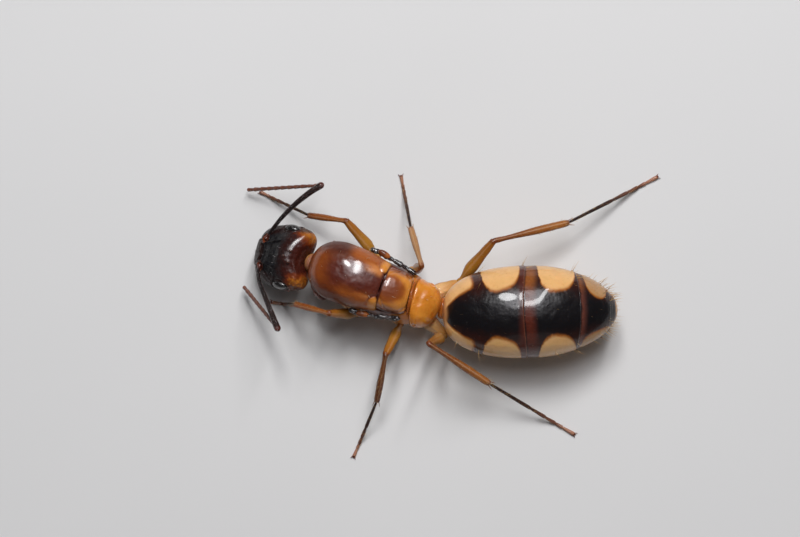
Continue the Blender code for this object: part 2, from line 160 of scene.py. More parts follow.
JOINT_OVERLAP = 0.06

THINNEST = 1e-5
SEARCH_REACH = 2.5  # times a form's own reach
SEARCH_STEPS = 28
STRIP_FILL = 0.96
HAIR_TIP = 0.0015
HAIR_SPREAD = (0.65, 1.2)  # of the lengths in one coat
PATCH_SIZE = 0.003
PATCH_WIDENING = 8.0
BEAD_HEIGHTS = (0.0, 0.02, 0.06, 0.12, 0.22, 0.4, 0.6, 0.78, 0.88, 0.94, 0.975, 0.995)
BEAD_RADII = (0.22, 0.28, 0.33, 0.36, 0.385, 0.42, 0.455, 0.49, 0.5, 0.475, 0.41, 0.3)
BEAD_OVERLAP = 1.03

VIEW_TURN = 20.0
VIEW_RISE = 87.0
VIEW_DISTANCE = 200.0
VIEW_AIM = (0.312, 0.984, 3.343)
LENS = 214.3
SENSOR = 36.0
NEAREST_SEEN = 0.005
FLOOR_RADIUS = 0.6
PAPER_SHADES = ((0.68, 0.68, 0.675), (0.72, 0.72, 0.715))
SKY = (0.8, 0.82, 0.85)
SKY_STRENGTH = 0.05
# A light is its way (towards the camera, up and right in its view), distance, size, watts and colour.
LIGHTS = (
    ("core", (1.0, 0.60, -0.08), 150.0, (48.0, 26.0), 0.08, (1.0, 1.0, 1.0)),
    ("strip", (1.0, 0.58, 0.2), 150.0, (125.0, 13.0), 0.092, (1.0, 1.0, 1.0)),
    ("halo", (1.0, 0.50, 0.08), 150.0, (110.0, 46.0), 0.046, (0.97, 0.94, 1.0)),
    ("rim", (1.0, 0.40, 0.14), 155.0, (160.0, 110.0), 0.021, (0.98, 0.95, 1.0)),
    ("fill", (0.5, -1.0, 0.2), 220.0, (160.0, 120.0), 0.012, (1.0, 1.0, 1.0)),
)


# ---------------------------------------------------------------------------------------------- places

def direction(azimuth, elevation):
    """A unit vector from two angles in degrees."""
    level = math.cos(math.radians(elevation))
    return Vector((
        math.cos(math.radians(azimuth)) * level,
        math.sin(math.radians(azimuth)) * level,
        math.sin(math.radians(elevation)),
    ))


def axis_frame(origin, forward):
    """A frame whose X is forward, whose Y is level and whose Z is the upper side."""
    side = UP.cross(forward).normalized()
    turn = Matrix((forward, side, forward.cross(side))).transposed()
    return Matrix.Translation(origin) @ turn.to_4x4()


def mirrored(place, side):
    """A place given for the side of +Y, on either side."""
    return Vector((place[0], place[1] * side, place[2]))


def thorax_frame():
    """The frame of the thorax in metres, found from where the scutum's solid lies."""
    low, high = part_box("scutum")
    place = Vector((low.x - SCUTUM[0] * MM, (low.y + high.y) / 2.0, 0.0))
    return Matrix.Translation(place) @ Matrix.Scale(MM, 4)


THORAX = thorax_frame()
HEAD = THORAX @ axis_frame(HEAD_PLACE, direction(180.0 + HEAD_YAW, -HEAD_PITCH))
GASTER = THORAX @ axis_frame(GASTER_PLACE, direction(GASTER_YAW, -GASTER_DROOP))


def placed(points, place):
    """Points of a frame, in metres."""
    matrix = np.array(place)
    return points @ matrix[:3, :3].T + matrix[:3, 3]


# ---------------------------------------------------------------------------------------------- paint

class Amount:
    """A value that varies over a surface. Arithmetic on it adds Math nodes to its material."""

    def __init__(self, paint, socket):
        self.paint = paint
        self.socket = socket

    def maths(self, operation, *others, clamp=False):
        settings = {"operation": operation, "use_clamp": clamp}
        return self.paint.add("ShaderNodeMath", settings, (self, *others))

    def __add__(self, other):
        return self.maths("ADD", other)

    def __mul__(self, other):
        return self.maths("MULTIPLY", other)

    def __sub__(self, other):
        return self.maths("SUBTRACT", other)

    def __truediv__(self, other):
        return self.maths("DIVIDE", other)

    def __pow__(self, power):
        return self.maths("POWER", power)

    def __neg__(self):
        return self * -1.0

    def __abs__(self):
        return self.maths("ABSOLUTE")

    def __rsub__(self, other):
        return -self + other

    def __rtruediv__(self, other):
        return self ** -1.0 * other

    __radd__ = __add__
    __rmul__ = __mul__

    def least(self, other):
        return self.maths("MINIMUM", other)

    def most(self, other):
        return self.maths("MAXIMUM", other)

    def rise(self, low, high):
        """0 below low and 1 above high, with a soft step between them; falls where low is above high."""
        settings = {"interpolation_type": "SMOOTHSTEP"}
        inputs = {"Value": self, "From Min": low, "From Max": high}
        return self.paint.add("ShaderNodeMapRange", settings, inputs)

    def near(self, middle, reach):
        """1 at the middle, and 0 further than the reach from it."""
        return abs(self - middle).rise(reach, 0.0)


class Paint:
    """A material, with one method that adds any node to it."""

    def __init__(self, name, **constants):
        self.material = bpy.data.materials.new(name)
        self.material.use_nodes = True
        self.tree = self.material.node_tree
        self.shader = self.tree.nodes["Principled BSDF"]
        for socket, value in constants.items():
            self.shader.inputs[socket.replace("_", " ")].default_value = value

    def add(self, kind, settings, inputs, output=0):
        node = self.tree.nodes.new(kind)
        for name, value in settings.items():
            setattr(node, name, value)
        for name, value in inputs.items() if isinstance(inputs, dict) else enumerate(inputs):
            self.feed(node.inputs[name], value)
        return Amount(self, node.outputs[output])

    def feed(self, socket, value):
        if isinstance(value, Amount):
            self.tree.links.new(value.socket, socket)
        elif isinstance(value, tuple) and len(value) == 3 and socket.type == "RGBA":
            socket.default_value = (*value, 1.0)
        else:
            socket.default_value = value

    def attribute(self, name):
        return self.add("ShaderNodeAttribute", {"attribute_name": name}, {}, "Vector")

    def split(self, vector):
        return [self.add("ShaderNodeSeparateXYZ", {}, (vector,), axis) for axis in "XYZ"]

    def spread(self):
        """Where each point lies in its part's own frame, whole and in its three directions."""
        place = self.attribute("place")
        return place, *self.split(place)

    def stretched(self, vector, *scale):
        return self.add("ShaderNodeVectorMath", {"operation": "MULTIPLY"}, (vector, scale))

    def noise(self, vector, scale, detail=2.0, roughness=0.5):
        inputs = {"Vector": vector, "Scale": scale, "Detail": detail, "Roughness": roughness}
        return self.add("ShaderNodeTexNoise", {}, inputs)

    def cloud(self, vector, scale, detail=3.0):
        """Noise that swings round 0."""
        return self.noise(vector, scale, detail) - 0.5

    def cells(self, vector, scale, jitter=1.0):
        inputs = {"Vector": vector, "Scale": scale, "Randomness": jitter}
        return self.add("ShaderNodeTexVoronoi", {"feature": "F1"}, inputs)

    def blend(self, factor, first, second):
        """The first colour, turning into the second as the factor rises."""
        settings = {"data_type": "RGBA", "clamp_factor": True}
        return self.add("ShaderNodeMix", settings, {0: factor, 6: first, 7: second}, 2)

    def relief(self, height, depth, under=None):
        """A normal that stands for a height from 0 to 1, at its depth in millimetres."""
        inputs = {"Height": height, "Distance": depth * MM, "Strength": 1.0}
        if under is not None:
            inputs["Normal"] = under
        return self.add("ShaderNodeBump", {}, inputs)

    def finish(self, **sockets):
        for name, value in sockets.items():
            self.feed(self.shader.inputs[name.replace("_", " ")], value)
        return self.material


BLACK = (0.006, 0.005, 0.006)
DARK_RED = (0.055, 0.010, 0.006)
RED_BROWN = (0.11, 0.016, 0.005)
CHESTNUT = (0.19, 0.036, 0.008)
ORANGE_BROWN = (0.34, 0.085, 0.011)
ORANGE = (0.68, 0.24, 0.025)
AMBER = (0.50, 0.23, 0.045)
CREAM = (0.80, 0.46, 0.185)
PALE_RIM = (0.75, 0.52, 0.36)
RIM_BROWN = (0.3, 0.11, 0.05)
TEMPLE_BLACK = (0.02, 0.007, 0.006)
FACE_BROWN = (0.03, 0.012, 0.008)
CORNER_ORANGE = (0.4, 0.135, 0.015)
FACET_GREY = (0.035, 0.03, 0.03)
FACET_BLACK = (0.008, 0.007, 0.007)
LENS_BROWN = (0.04, 0.012, 0.008)
LENS_AMBER = (0.1, 0.035, 0.02)
# The pale tan of the painted highlight along the tops of limbs.
TOP_HIGHLIGHT_TAN = (0.72, 0.5, 0.33)
FOOT_BLACK = (0.022, 0.010, 0.008)
FOOT_BROWN = (0.16, 0.06, 0.035)
FOOT_TAN = (0.40, 0.19, 0.12)
FOOT_STREAK = (0.09, 0.028, 0.018)
SCUTUM_DARK = (0.085, 0.012, 0.005)
SCUTUM_STRIPE = (0.5, 0.16, 0.03)
SCUTUM_FRONT = (0.25, 0.055, 0.005)
# The red of the painted shade on the scutum's left flank.
SCUTUM_SHADE_RED = (0.11, 0.018, 0.003)
SCUTUM_LOBE = (0.66, 0.25, 0.03)
SCUTUM_PEACH = (0.66, 0.25, 0.07)
SCUTELLUM_BROWN = (0.2, 0.045, 0.011)
SCUTELLUM_ORANGE = (0.72, 0.28, 0.04)
PROPODEUM_DEEP = (0.6, 0.19, 0.015)
PROPODEUM_BRIGHT = (0.72, 0.28, 0.035)
FLANK_BROWN = (0.17, 0.045, 0.012)
FLANK_ORANGE = (0.5, 0.16, 0.02)
NECK_AMBER = (0.5, 0.24, 0.06)
NECK_ROSE = (0.36, 0.15, 0.09)
BAND_ORANGE = (0.45, 0.13, 0.02)
WAIST_TAN = (0.6, 0.3, 0.12)
SADDLE_BROWN = (0.05, 0.011, 0.006)
SADDLE_REAR = (0.11, 0.022, 0.012)
VEIL_ORANGE = (0.3, 0.095, 0.02)
PATCH_EDGE = (0.34, 0.105, 0.016)
PATCH_GOLD = (0.74, 0.42, 0.16)
PATCH_CLOUD = (0.6, 0.27, 0.075)
TAIL_TAN = (0.36, 0.19, 0.08)
TAIL_GOLD = (0.48, 0.225, 0.04)
BELLY_TAN = (0.55, 0.30, 0.12)


def shell(name, gloss=0.28, **constants):
    """Polished cuticle: a satin underglow below a thin clear wax."""
    settings = {
        "Roughness": gloss,
        "Specular_IOR_Level": 0.5,
        "Coat_Weight": 0.55,
        "Coat_Roughness": 0.06,
        "Coat_IOR": 1.5,
        "Subsurface_Weight": 0.18,
        "Subsurface_Radius": (1.0, 0.42, 0.18),
        "Subsurface_Scale": 0.00025,
    }
    settings.update(constants)
    return Paint(name, **settings)


def cuticle_relief(paint, place, dents, waves, under, dent_depth=0.012):
    """Long waves, a leathery grain and scattered hair pits, each as a normal over the last."""
    wavy = paint.relief(paint.noise(place, 1.3, 2.0), waves, under)
    grain = paint.relief(paint.noise(place, 38.0, 2.0, 0.6), 0.0016, wavy)
    pits = paint.cells(place, dents).rise(0.06, 0.17)
    return paint.relief(pits, dent_depth, grain)


# ---------------------------------------------------------------------------------------------- shapes

def egg(x, start, end, widest, before, after):
    """The share of its full size that a round-ended outline has at each x."""
    ahead = x < widest
    share = np.where(ahead, (widest - x) / (widest - start), (x - widest) / (end - widest))
    power = np.where(ahead, before, after)
    return np.clip(1.0 - np.clip(share, 0.0, 1.0) ** power, 0.0, 1.0) ** (1.0 / power)


def span(x, form, outline):
    """A form's half width, height or depth at each x."""
    return outline[0] * egg(x, form[0], form[1], *outline[1:])


def egg_depth(points, form, squareness):
    """How far points lie outside a form, roughly and in millimetres; less than 0 inside it."""
    start, end, width, top, bottom, level = form
    x, y, z = points[:, 0], points[:, 1], points[:, 2] - level
    half_width = np.maximum(span(x, form, width), THINNEST)
    height = np.where(z > 0.0, span(x, form, top), span(x, form, bottom))
    height = np.maximum(height, THINNEST)
    aside = (np.abs(y) / half_width) ** squareness
    aloft = (np.abs(z) / height) ** squareness
    round_share = (aside + aloft) ** (1.0 / squareness)
    beyond = np.maximum(np.maximum(start - x, x - end), 0.0)
    return (round_share - 1.0) * np.minimum(half_width, height) + beyond


def round_most(a, b, blend):
    """The larger of two depths, rounded off where they are alike."""
    share = np.clip(0.5 + 0.5 * (a - b) / blend, 0.0, 1.0)
    return b + (a - b) * share + blend * share * (1.0 - share)


def bell(distance, reach):
    """1 where the distance is 0, and almost 0 at twice the reach."""
    return np.exp(-(distance / reach) ** 2)


def soft_step(x, low, high):
    """0 below low and 1 above high, with a soft step between them; falls where low is above high."""
    share = np.clip((x - low) / (high - low), 0.0, 1.0)
    return share * share * (3.0 - 2.0 * share)


def seam_depth(points, seam, side):
    """How far points lie past a seam, towards the side of it that is cut away."""
    point, way = seam
    return (points - point) @ way * side + SEAM_GAP


SPHERES = {}


def sphere(level):
    """Unit directions and triangles of an evenly divided sphere."""
    if level not in SPHERES:
        bm = bmesh.new()
        bmesh.ops.create_icosphere(bm, subdivisions=level, radius=1.0)
        ways = np.array([vert.co for vert in bm.verts])
        SPHERES[level] = ways, np.array([[vert.index for vert in face.verts] for face in bm.faces])
        bm.free()
    return SPHERES[level]


class Skin:
    """The surface of a piece in its own frame, with what its paint and its setae read from it."""

    def __init__(self, points, faces, place, flow, unwrap, readings=None):
        self.points = points
        self.faces = faces
        self.place = place
        self.flow = flow
        self.unwrap = unwrap
        self.readings = points if readings is None else readings
        self.furry = np.ones(len(points))
        self.marks = self.readings


def carve(depth_at, centre, reach, level, place):
    """A skin around a centre, found along each direction as the place where the depth turns to 0."""
    ways, faces = sphere(level)
    around = np.arctan2(ways[:, 1], ways[:, 0]) / math.tau + 0.5
    unwrap = np.stack([around, np.arccos(ways[:, 2]) / math.pi], 1)
    ways = ways * np.array(reach)
    ways /= np.linalg.norm(ways, axis=1)[:, None]
    inside = np.zeros(len(ways))
    outside = np.full(len(ways), SEARCH_REACH * max(reach))
    for _ in range(SEARCH_STEPS):
        middle = (inside + outside) / 2.0
        within = depth_at(centre + ways * middle[:, None]) < 0.0
        inside = np.where(within, middle, inside)
        outside = np.where(within, outside, middle)
    points = np.array(centre) + ways * inside[:, None]
    forward = np.array(place.to_3x3().normalized())[:, 0]
    return Skin(points, faces, place, np.tile(forward, (len(points), 1)), unwrap)


def along(path, shares):
    """The points of a path at several shares of it."""
    return np.array([path(share) for share in shares])


def tube_faces(count, sides):
    """The faces between rings in a row, and those that close both ends on a point."""
    ring, side = np.meshgrid(np.arange(count - 1), np.arange(sides), indexing="ij")
    near = (ring * sides + side).ravel()
    far = (ring * sides + (side + 1) % sides).ravel()
    quads = np.stack([near, far, far + sides, near + sides], 1)
    turn = np.arange(sides)
    after = (turn + 1) % sides
    last_ring = (count - 1) * sides
    first_point, last_point = np.full(sides, count * sides), np.full(sides, count * sides + 1)
    start_cap = np.stack([after, turn, first_point], 1)
    end_cap = np.stack([turn + last_ring, after + last_ring, last_point], 1)
    return [tuple(face) for block in (quads, start_cap, end_cap) for face in block]


def tube(path, width, height, stations, sides, place=THORAX, up=UP):
    """A skin of rings along a path, each as wide and as high as two functions of the share say."""
    centres = along(path, stations)
    ways = np.gradient(centres, axis=0)
    ways /= np.linalg.norm(ways, axis=1)[:, None]
    across = np.cross(np.array(up), ways)
    across /= np.linalg.norm(across, axis=1)[:, None]
    over = np.cross(ways, across)
    angles = np.arange(sides) * math.tau / sides
    rings = (
        centres[:, None]
        + across[:, None] * (width(stations)[:, None] * np.cos(angles))[:, :, None]
        + over[:, None] * (height(stations)[:, None] * np.sin(angles))[:, :, None]
    )
    count = len(stations)
    points = np.concatenate([rings.reshape(-1, 3), centres[:1], centres[-1:]])
    shares = np.concatenate([np.repeat(stations, sides), stations[:1], stations[-1:]])
    around = np.concatenate([np.tile(angles / math.tau, count), [0.5, 0.5]])
    flow = np.concatenate([np.repeat(ways, sides, axis=0), ways[:1], ways[-1:]])
    readings = np.stack([shares, np.sin(around * math.tau), np.cos(around * math.tau)], 1)
    return Skin(points, tube_faces(count, sides), place, flow, np.stack([around, shares], 1), readings)


def rounded(stations):
    """Even shares with more of them near both ends, where a tube closes."""
    return (1.0 - np.cos(np.linspace(0.0, math.pi, stations))) / 2.0


def ends(share, start_reach, end_reach):
    """1 along a tube, and a quarter circle down to 0 within a reach of each of its ends."""
    near_start = np.clip(share / start_reach, 0.0, 1.0)
    near_end = np.clip((1.0 - share) / end_reach, 0.0, 1.0)
    return np.sqrt(1.0 - (1.0 - near_start) ** 2) * np.sqrt(1.0 - (1.0 - near_end) ** 2)


def merged(skins):
    """One skin of several, each with a strip of its own in the unwrap."""
    offset, faces, strips = 0, [], []
    for number, skin in enumerate(skins):
        faces += [tuple(index + offset for index in face) for face in skin.faces]
        offset += len(skin.points)
        strips.append((skin.unwrap * (1.0, STRIP_FILL) + (0.0, number)) / (1.0, len(skins)))
    whole = Skin(
        np.concatenate([placed(skin.points, skin.place) for skin in skins]) / MM,
        faces,
        Matrix.Scale(MM, 4),
        np.concatenate([skin.flow for skin in skins]),
        np.concatenate(strips),
        np.concatenate([skin.readings for skin in skins]),
    )
    whole.furry = np.concatenate([skin.furry for skin in skins])
    return whole


def store(mesh, name, kind, values):
    """Writes an attribute of a mesh's points."""
    data = mesh.attributes.new(name, kind, "POINT").data
    data.foreach_set("value" if kind == "FLOAT" else "vector", values.astype(np.float32).ravel())


def mesh_of(name, skin):
    """A skin's mesh in metres, with what its paint and its setae read stored on it."""
    mesh = bpy.data.meshes.new(name)
    mesh.from_pydata(placed(skin.points, skin.place).tolist(), [], [tuple(face) for face in skin.faces])
    mesh.shade_smooth()
    store(mesh, "place", "FLOAT_VECTOR", skin.readings)
    store(mesh, "marks", "FLOAT_VECTOR", skin.marks)
    store(mesh, "flow", "FLOAT_VECTOR", skin.flow)
    store(mesh, "unwrap", "FLOAT2", skin.unwrap)
    store(mesh, "furry", "FLOAT", skin.furry)
    return mesh


def linked(name, data):
    """A new object in the scene."""
    made = bpy.data.objects.new(name, data)
    bpy.context.scene.collection.objects.link(made)
    return made


def settle(piece, slot, *nodes):
    """Hands a finished piece to the frame, with the solids that it stands for."""
    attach(piece, "root")
    if nodes:
        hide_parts(*nodes)
    return piece


def dress(name, skin, paint, slot, *nodes):
    """A piece from a skin, its paint and the solids that it stands for."""
    mesh = mesh_of(name, skin)
    mesh.materials.append(paint)
    return settle(linked(name, mesh), slot, *nodes)


# ---------------------------------------------------------------------------------------------- repeats

class Growth:
    """A Geometry Nodes tree, with one method that adds any node to it."""

    def __init__(self, name, inputs):
        self.tree = bpy.data.node_groups.new(name, "GeometryNodeTree")
        self.tree.interface.new_socket("Geometry", in_out="INPUT", socket_type="NodeSocketGeometry")
        self.sockets = {}
        for socket, (kind, value) in inputs.items():
            made = self.tree.interface.new_socket(socket, in_out="INPUT", socket_type="NodeSocket" + kind)
            if value is not None:
                made.default_value = value
            self.sockets[socket] = made.identifier
        self.tree.interface.new_socket("Geometry", in_out="OUTPUT", socket_type="NodeSocketGeometry")
        self.inputs = self.tree.nodes.new("NodeGroupInput")
        self.end = self.tree.nodes.new("NodeGroupOutput")

    def add(self, kind, settings, inputs, output=0):
        node = self.tree.nodes.new(kind)
        for name, value in settings.items():
            setattr(node, name, value)
        for name, value in inputs.items():
            if isinstance(value, bpy.types.NodeSocket):
                self.tree.links.new(value, node.inputs[name])
            else:
                node.inputs[name].default_value = value
        return node.outputs[output]

    def maths(self, operation, *values):
        return self.add("ShaderNodeMath", {"operation": operation}, dict(enumerate(values)))

    def sum(self, first, *others):
        """The sum of several vectors."""
        for other in others:
            first = self.add("ShaderNodeVectorMath", {"operation": "ADD"}, {0: first, 1: other})
        return first

    def scaled(self, vector, amount):
        return self.add("ShaderNodeVectorMath", {"operation": "SCALE"}, {0: vector, "Scale": amount})

    def given(self, name):
        """One of the tree's own inputs."""
        return self.inputs.outputs[name]

    def named(self, name, kind="FLOAT_VECTOR"):
        """An attribute of the host mesh."""
        return self.add("GeometryNodeInputNamedAttribute", {"data_type": kind}, {"Name": name})

    def finish(self, geometry):
        """Paints what has grown and hands it out."""
        finish = self.given("Finish")
        painted = self.add("GeometryNodeSetMaterial", {}, {"Geometry": geometry, "Material": finish})
        self.tree.links.new(painted, self.end.inputs["Geometry"])
        return self

    def grow(self, name, host, **values):
        """The tree's result on a host mesh, as a plain mesh object."""
        guide = linked(name + "_host", host)
        growth = guide.modifiers.new("growth", "NODES")
        growth.node_group = self.tree
        for socket, value in values.items():
            growth[self.sockets[socket]] = value
        result = guide.evaluated_get(bpy.context.evaluated_depsgraph_get())
        mesh = bpy.data.meshes.new_from_object(result)
        guide.modifiers.clear()
        bpy.data.objects.remove(guide, do_unlink=True)
        mesh.shade_smooth()
        return linked(name, mesh)


def hair_shape(tree):
    """One hair of unit length that bends as it rises, with its own small patch of the unwrap."""
    hair = tree.add("GeometryNodeMeshCone", {}, {
        "Vertices": 3,
        "Side Segments": 3,
        "Radius Top": HAIR_TIP,
        "Radius Bottom": tree.maths("DIVIDE", tree.given("Thickness"), tree.given("Length")),
        "Depth": 1.0,
    })
    position = tree.add("GeometryNodeInputPosition", {}, {})
    across = tree.add("ShaderNodeSeparateXYZ", {}, {0: position}, 1)
    height = tree.add("ShaderNodeSeparateXYZ", {}, {0: position}, 2)
    bend = tree.maths("MULTIPLY", tree.maths("MULTIPLY", height, height), tree.given("Curl"))
    offset = tree.add("ShaderNodeCombineXYZ", {}, {"X": bend})
    hair = tree.add("GeometryNodeSetPosition", {}, {"Geometry": hair, "Offset": offset})
    patch = tree.add("ShaderNodeCombineXYZ", {}, {
        "X": tree.maths("SUBTRACT", height, 0.5),
        "Y": tree.maths("MULTIPLY", across, PATCH_WIDENING),
    })
    return tree.add("GeometryNodeStoreNamedAttribute", {"data_type": "FLOAT_VECTOR", "domain": "POINT"}, {
        "Geometry": hair, "Name": "patch", "Value": patch,
    })


def hair_roots(tree):
    """Random points of the skin, fewer where it is less furry, and the way that it faces there."""
    per_area = tree.maths("DIVIDE", tree.given("Density"), MM * MM)
    points = tree.add("GeometryNodeDistributePointsOnFaces", {"distribute_method": "RANDOM"}, {
        "Mesh": tree.given("Geometry"),
        "Density": tree.maths("MULTIPLY", per_area, tree.named("furry", "FLOAT")),
        "Seed": tree.given("Seed"),
    }, "Points")
    return points, points.node.outputs["Normal"]


def hair_turn(tree, normal):
    """How each hair stands: part upright, part along the skin's flow, and a little astray."""
    flow = tree.named("flow")
    flat = tree.scaled(flow, tree.given("Lean"))
    upright = tree.scaled(normal, tree.maths("SUBTRACT", 1.0, tree.given("Lean")))
    stray = tree.add("FunctionNodeRandomValue", {"data_type": "FLOAT_VECTOR"}, {
        0: (-1.0, -1.0, -1.0), 1: (1.0, 1.0, 1.0), "Seed": tree.given("Seed"),
    })
    way = tree.sum(flat, upright, tree.scaled(stray, tree.given("Scatter")))
    turn = tree.add("FunctionNodeAlignRotationToVector", {"axis": "Z"}, {"Vector": way})
    return tree.add("FunctionNodeAlignRotationToVector", {"axis": "X", "pivot_axis": "Z"}, {
        "Rotation": turn, "Vector": flow,
    })


def setae_growth():
    """Tapering bent hairs scattered over a skin, each a patch at its root's place on the skin's unwrap."""
    tree = Growth("setae", {
        "Density": ("Float", 100.0),
        "Length": ("Float", 0.1),
        "Thickness": ("Float", 0.01),
        "Lean": ("Float", 0.5),
        "Scatter": ("Float", 0.2),
        "Curl": ("Float", 0.2),
        "Seed": ("Int", 1),
        "Finish": ("Material", None),
    })
    points, normal = hair_roots(tree)
    shortest, longest = HAIR_SPREAD
    spread = tree.add("FunctionNodeRandomValue", {"data_type": "FLOAT"}, {
        2: shortest, 3: longest, "ID": 7,
    }, 1)
    length = tree.maths("MULTIPLY", tree.given("Length"), MM)
    standing = tree.add("GeometryNodeInstanceOnPoints", {}, {
        "Points": points,
        "Instance": hair_shape(tree),
        "Rotation": hair_turn(tree, normal),
        "Scale": tree.maths("MULTIPLY", length, spread),
    })
    solid = tree.add("GeometryNodeRealizeInstances", {}, {"Geometry": standing})
    spot = tree.sum(tree.named("unwrap"), tree.scaled(tree.named("patch"), PATCH_SIZE))
    stored = tree.add("GeometryNodeStoreNamedAttribute", {"data_type": "FLOAT2", "domain": "CORNER"}, {
        "Geometry": solid, "Name": "OFBake", "Value": spot,
    })
    return tree.finish(stored)


def bead_growth():
    """Copies of one bead on points that carry their way, their size and their number."""
    tree = Growth("beads", {"Bead": ("Object", None), "Finish": ("Material", None)})
    points = tree.add("GeometryNodeMeshToPoints", {}, {"Mesh": tree.given("Geometry")})
    bead = tree.add("GeometryNodeObjectInfo", {}, {"Object": tree.given("Bead")}, "Geometry")
    turn = tree.add("FunctionNodeAlignRotationToVector", {"axis": "Z"}, {"Vector": tree.named("way")})
    standing = tree.add("GeometryNodeInstanceOnPoints", {}, {
        "Points": points, "Instance": bead, "Rotation": turn, "Scale": tree.named("size"),
    })
    return tree.finish(tree.add("GeometryNodeRealizeInstances", {}, {"Geometry": standing}))


SETAE = setae_growth()
BEADS = bead_growth()


def bead_object():
    """One segment of a whip or a foot: a unit long and half a unit thick, wider at its far end."""
    def girth(share):
        return np.interp(share, BEAD_HEIGHTS, BEAD_RADII)

    skin = tube(
        lambda share: (0.0, 0.0, share),
        girth,
        girth,
        np.array(BEAD_HEIGHTS),
        sides=16,
        place=Matrix.Identity(4),
        up=Vector((1.0, 0.0, 0.0)),
    )
    mesh = bpy.data.meshes.new("bead")
    mesh.from_pydata(skin.points.tolist(), [], skin.faces)
    mesh.shade_smooth()
    store(mesh, "place", "FLOAT_VECTOR", skin.readings)
    return bpy.data.objects.new("bead", mesh)


def bead_chain(name, path, shares, thickness, paint, bead):
    """Beads end to end along a path, between the shares given, each with its own thickness."""
    starts = along(path, shares[:-1])
    ways = along(path, shares[1:]) - starts
    lengths = np.linalg.norm(ways, axis=1)
    host = bpy.data.meshes.new(name + "_points")
    host.from_pydata(placed(starts, THORAX).tolist(), [], [])
    store(host, "way", "FLOAT_VECTOR", ways / lengths[:, None])
    store(host, "size", "FLOAT_VECTOR", np.stack([thickness, thickness, lengths * BEAD_OVERLAP], 1) * MM)
    store(host, "number", "FLOAT", np.arange(len(starts)) / (len(starts) - 1))
    return BEADS.grow(name, host, Bead=bead, Finish=paint)


def setae(name, skins, paint, density, length, thickness, lean, scatter=0.25, curl=0.25, seed=1):
    """A coat of hairs over several skins, in one piece."""
    host = mesh_of(name + "_skin", merged(skins))
    coat = SETAE.grow(
        name, host, Density=density, Length=length, Thickness=thickness, Lean=lean, Scatter=scatter,
        Curl=curl, Seed=seed, Finish=paint,
    )
    return settle(coat, "pale_setae")


# ---------------------------------------------------------------------------------------------- head

def head_paint():
    """Black in front, pitted between the eyes, orange through thin shell at the rear corners; the left one
    painted in shade.
    """
    paint = shell("head_shell", gloss=0.34, Coat_Roughness=0.19, Specular_IOR_Level=0.14)
    place, x, y, z = paint.spread()
    side = abs(y)
    above = z.rise(0.0, 0.3)
    mottle = paint.cloud(place, 2.2)
    fine = paint.cloud(place, 8.0, 2.0)
    colour = paint.blend((x + mottle * 0.7 + fine * 0.3).rise(1.5, 0.35), BLACK, DARK_RED)
    # The orange corners are cut back on the ant's left side (+Y here) as painted shade.
    corner = x + (1.0 - side) + mottle * 0.5 + fine * 0.25 - y.rise(0.2, 1.0) * 0.16
    colour = paint.blend(corner.rise(0.95, 0.55), colour, CHESTNUT)
    colour = paint.blend(corner.rise(0.68, 0.3), colour, CORNER_ORANGE)
    temple = (side + x * 0.25 + fine * 0.2).rise(1.22, 1.38)
    colour = paint.blend(temple * 0.85, colour, TEMPLE_BLACK)
    # Red-brown stains at random, laid on more towards the left side as painted shade.
    red_stain_and_left_shade = (fine + y * 0.15).rise(0.0, 0.25) * corner.rise(1.0, 0.5)
    colour = paint.blend(red_stain_and_left_shade * 0.6, colour, RED_BROWN)
    occiput = x.rise(0.2, 0.05) * z.rise(-0.2, 0.1)
    colour = paint.blend(occiput * 0.7, colour, DARK_RED)
    socket = ((x - SOCKET_PLACE[0]) ** 2.0 + (side - SOCKET_PLACE[1]) ** 2.0) ** 0.5
    colour = paint.blend(socket.near(SOCKET_RADIUS, 0.08) * above, colour, CHESTNUT)
    shield_x, shield_length, shield_width = FACE_SHIELD
    shield = (((x - shield_x) / shield_length) ** 2.0 + (y / shield_width) ** 2.0) ** 0.5
    colour = paint.blend(shield.rise(1.1, 0.8) * above * 0.6, colour, FACE_BROWN)
    lumpy = paint.relief(paint.noise(place, 3.6), 0.12)
    pitted = paint.relief(paint.cells(place, 10.0).rise(0.05, 0.22), 0.034, lumpy)
    normal = cuticle_relief(paint, place, dents=4.0, dent_depth=0.026, waves=0.075, under=pitted)
    wax = (x + mottle * 0.5).rise(1.75, 1.0) * z.rise(0.1, 0.5) * 0.93 + 0.07
    return paint.finish(Base_Color=colour, Normal=normal, Coat_Weight=wax)


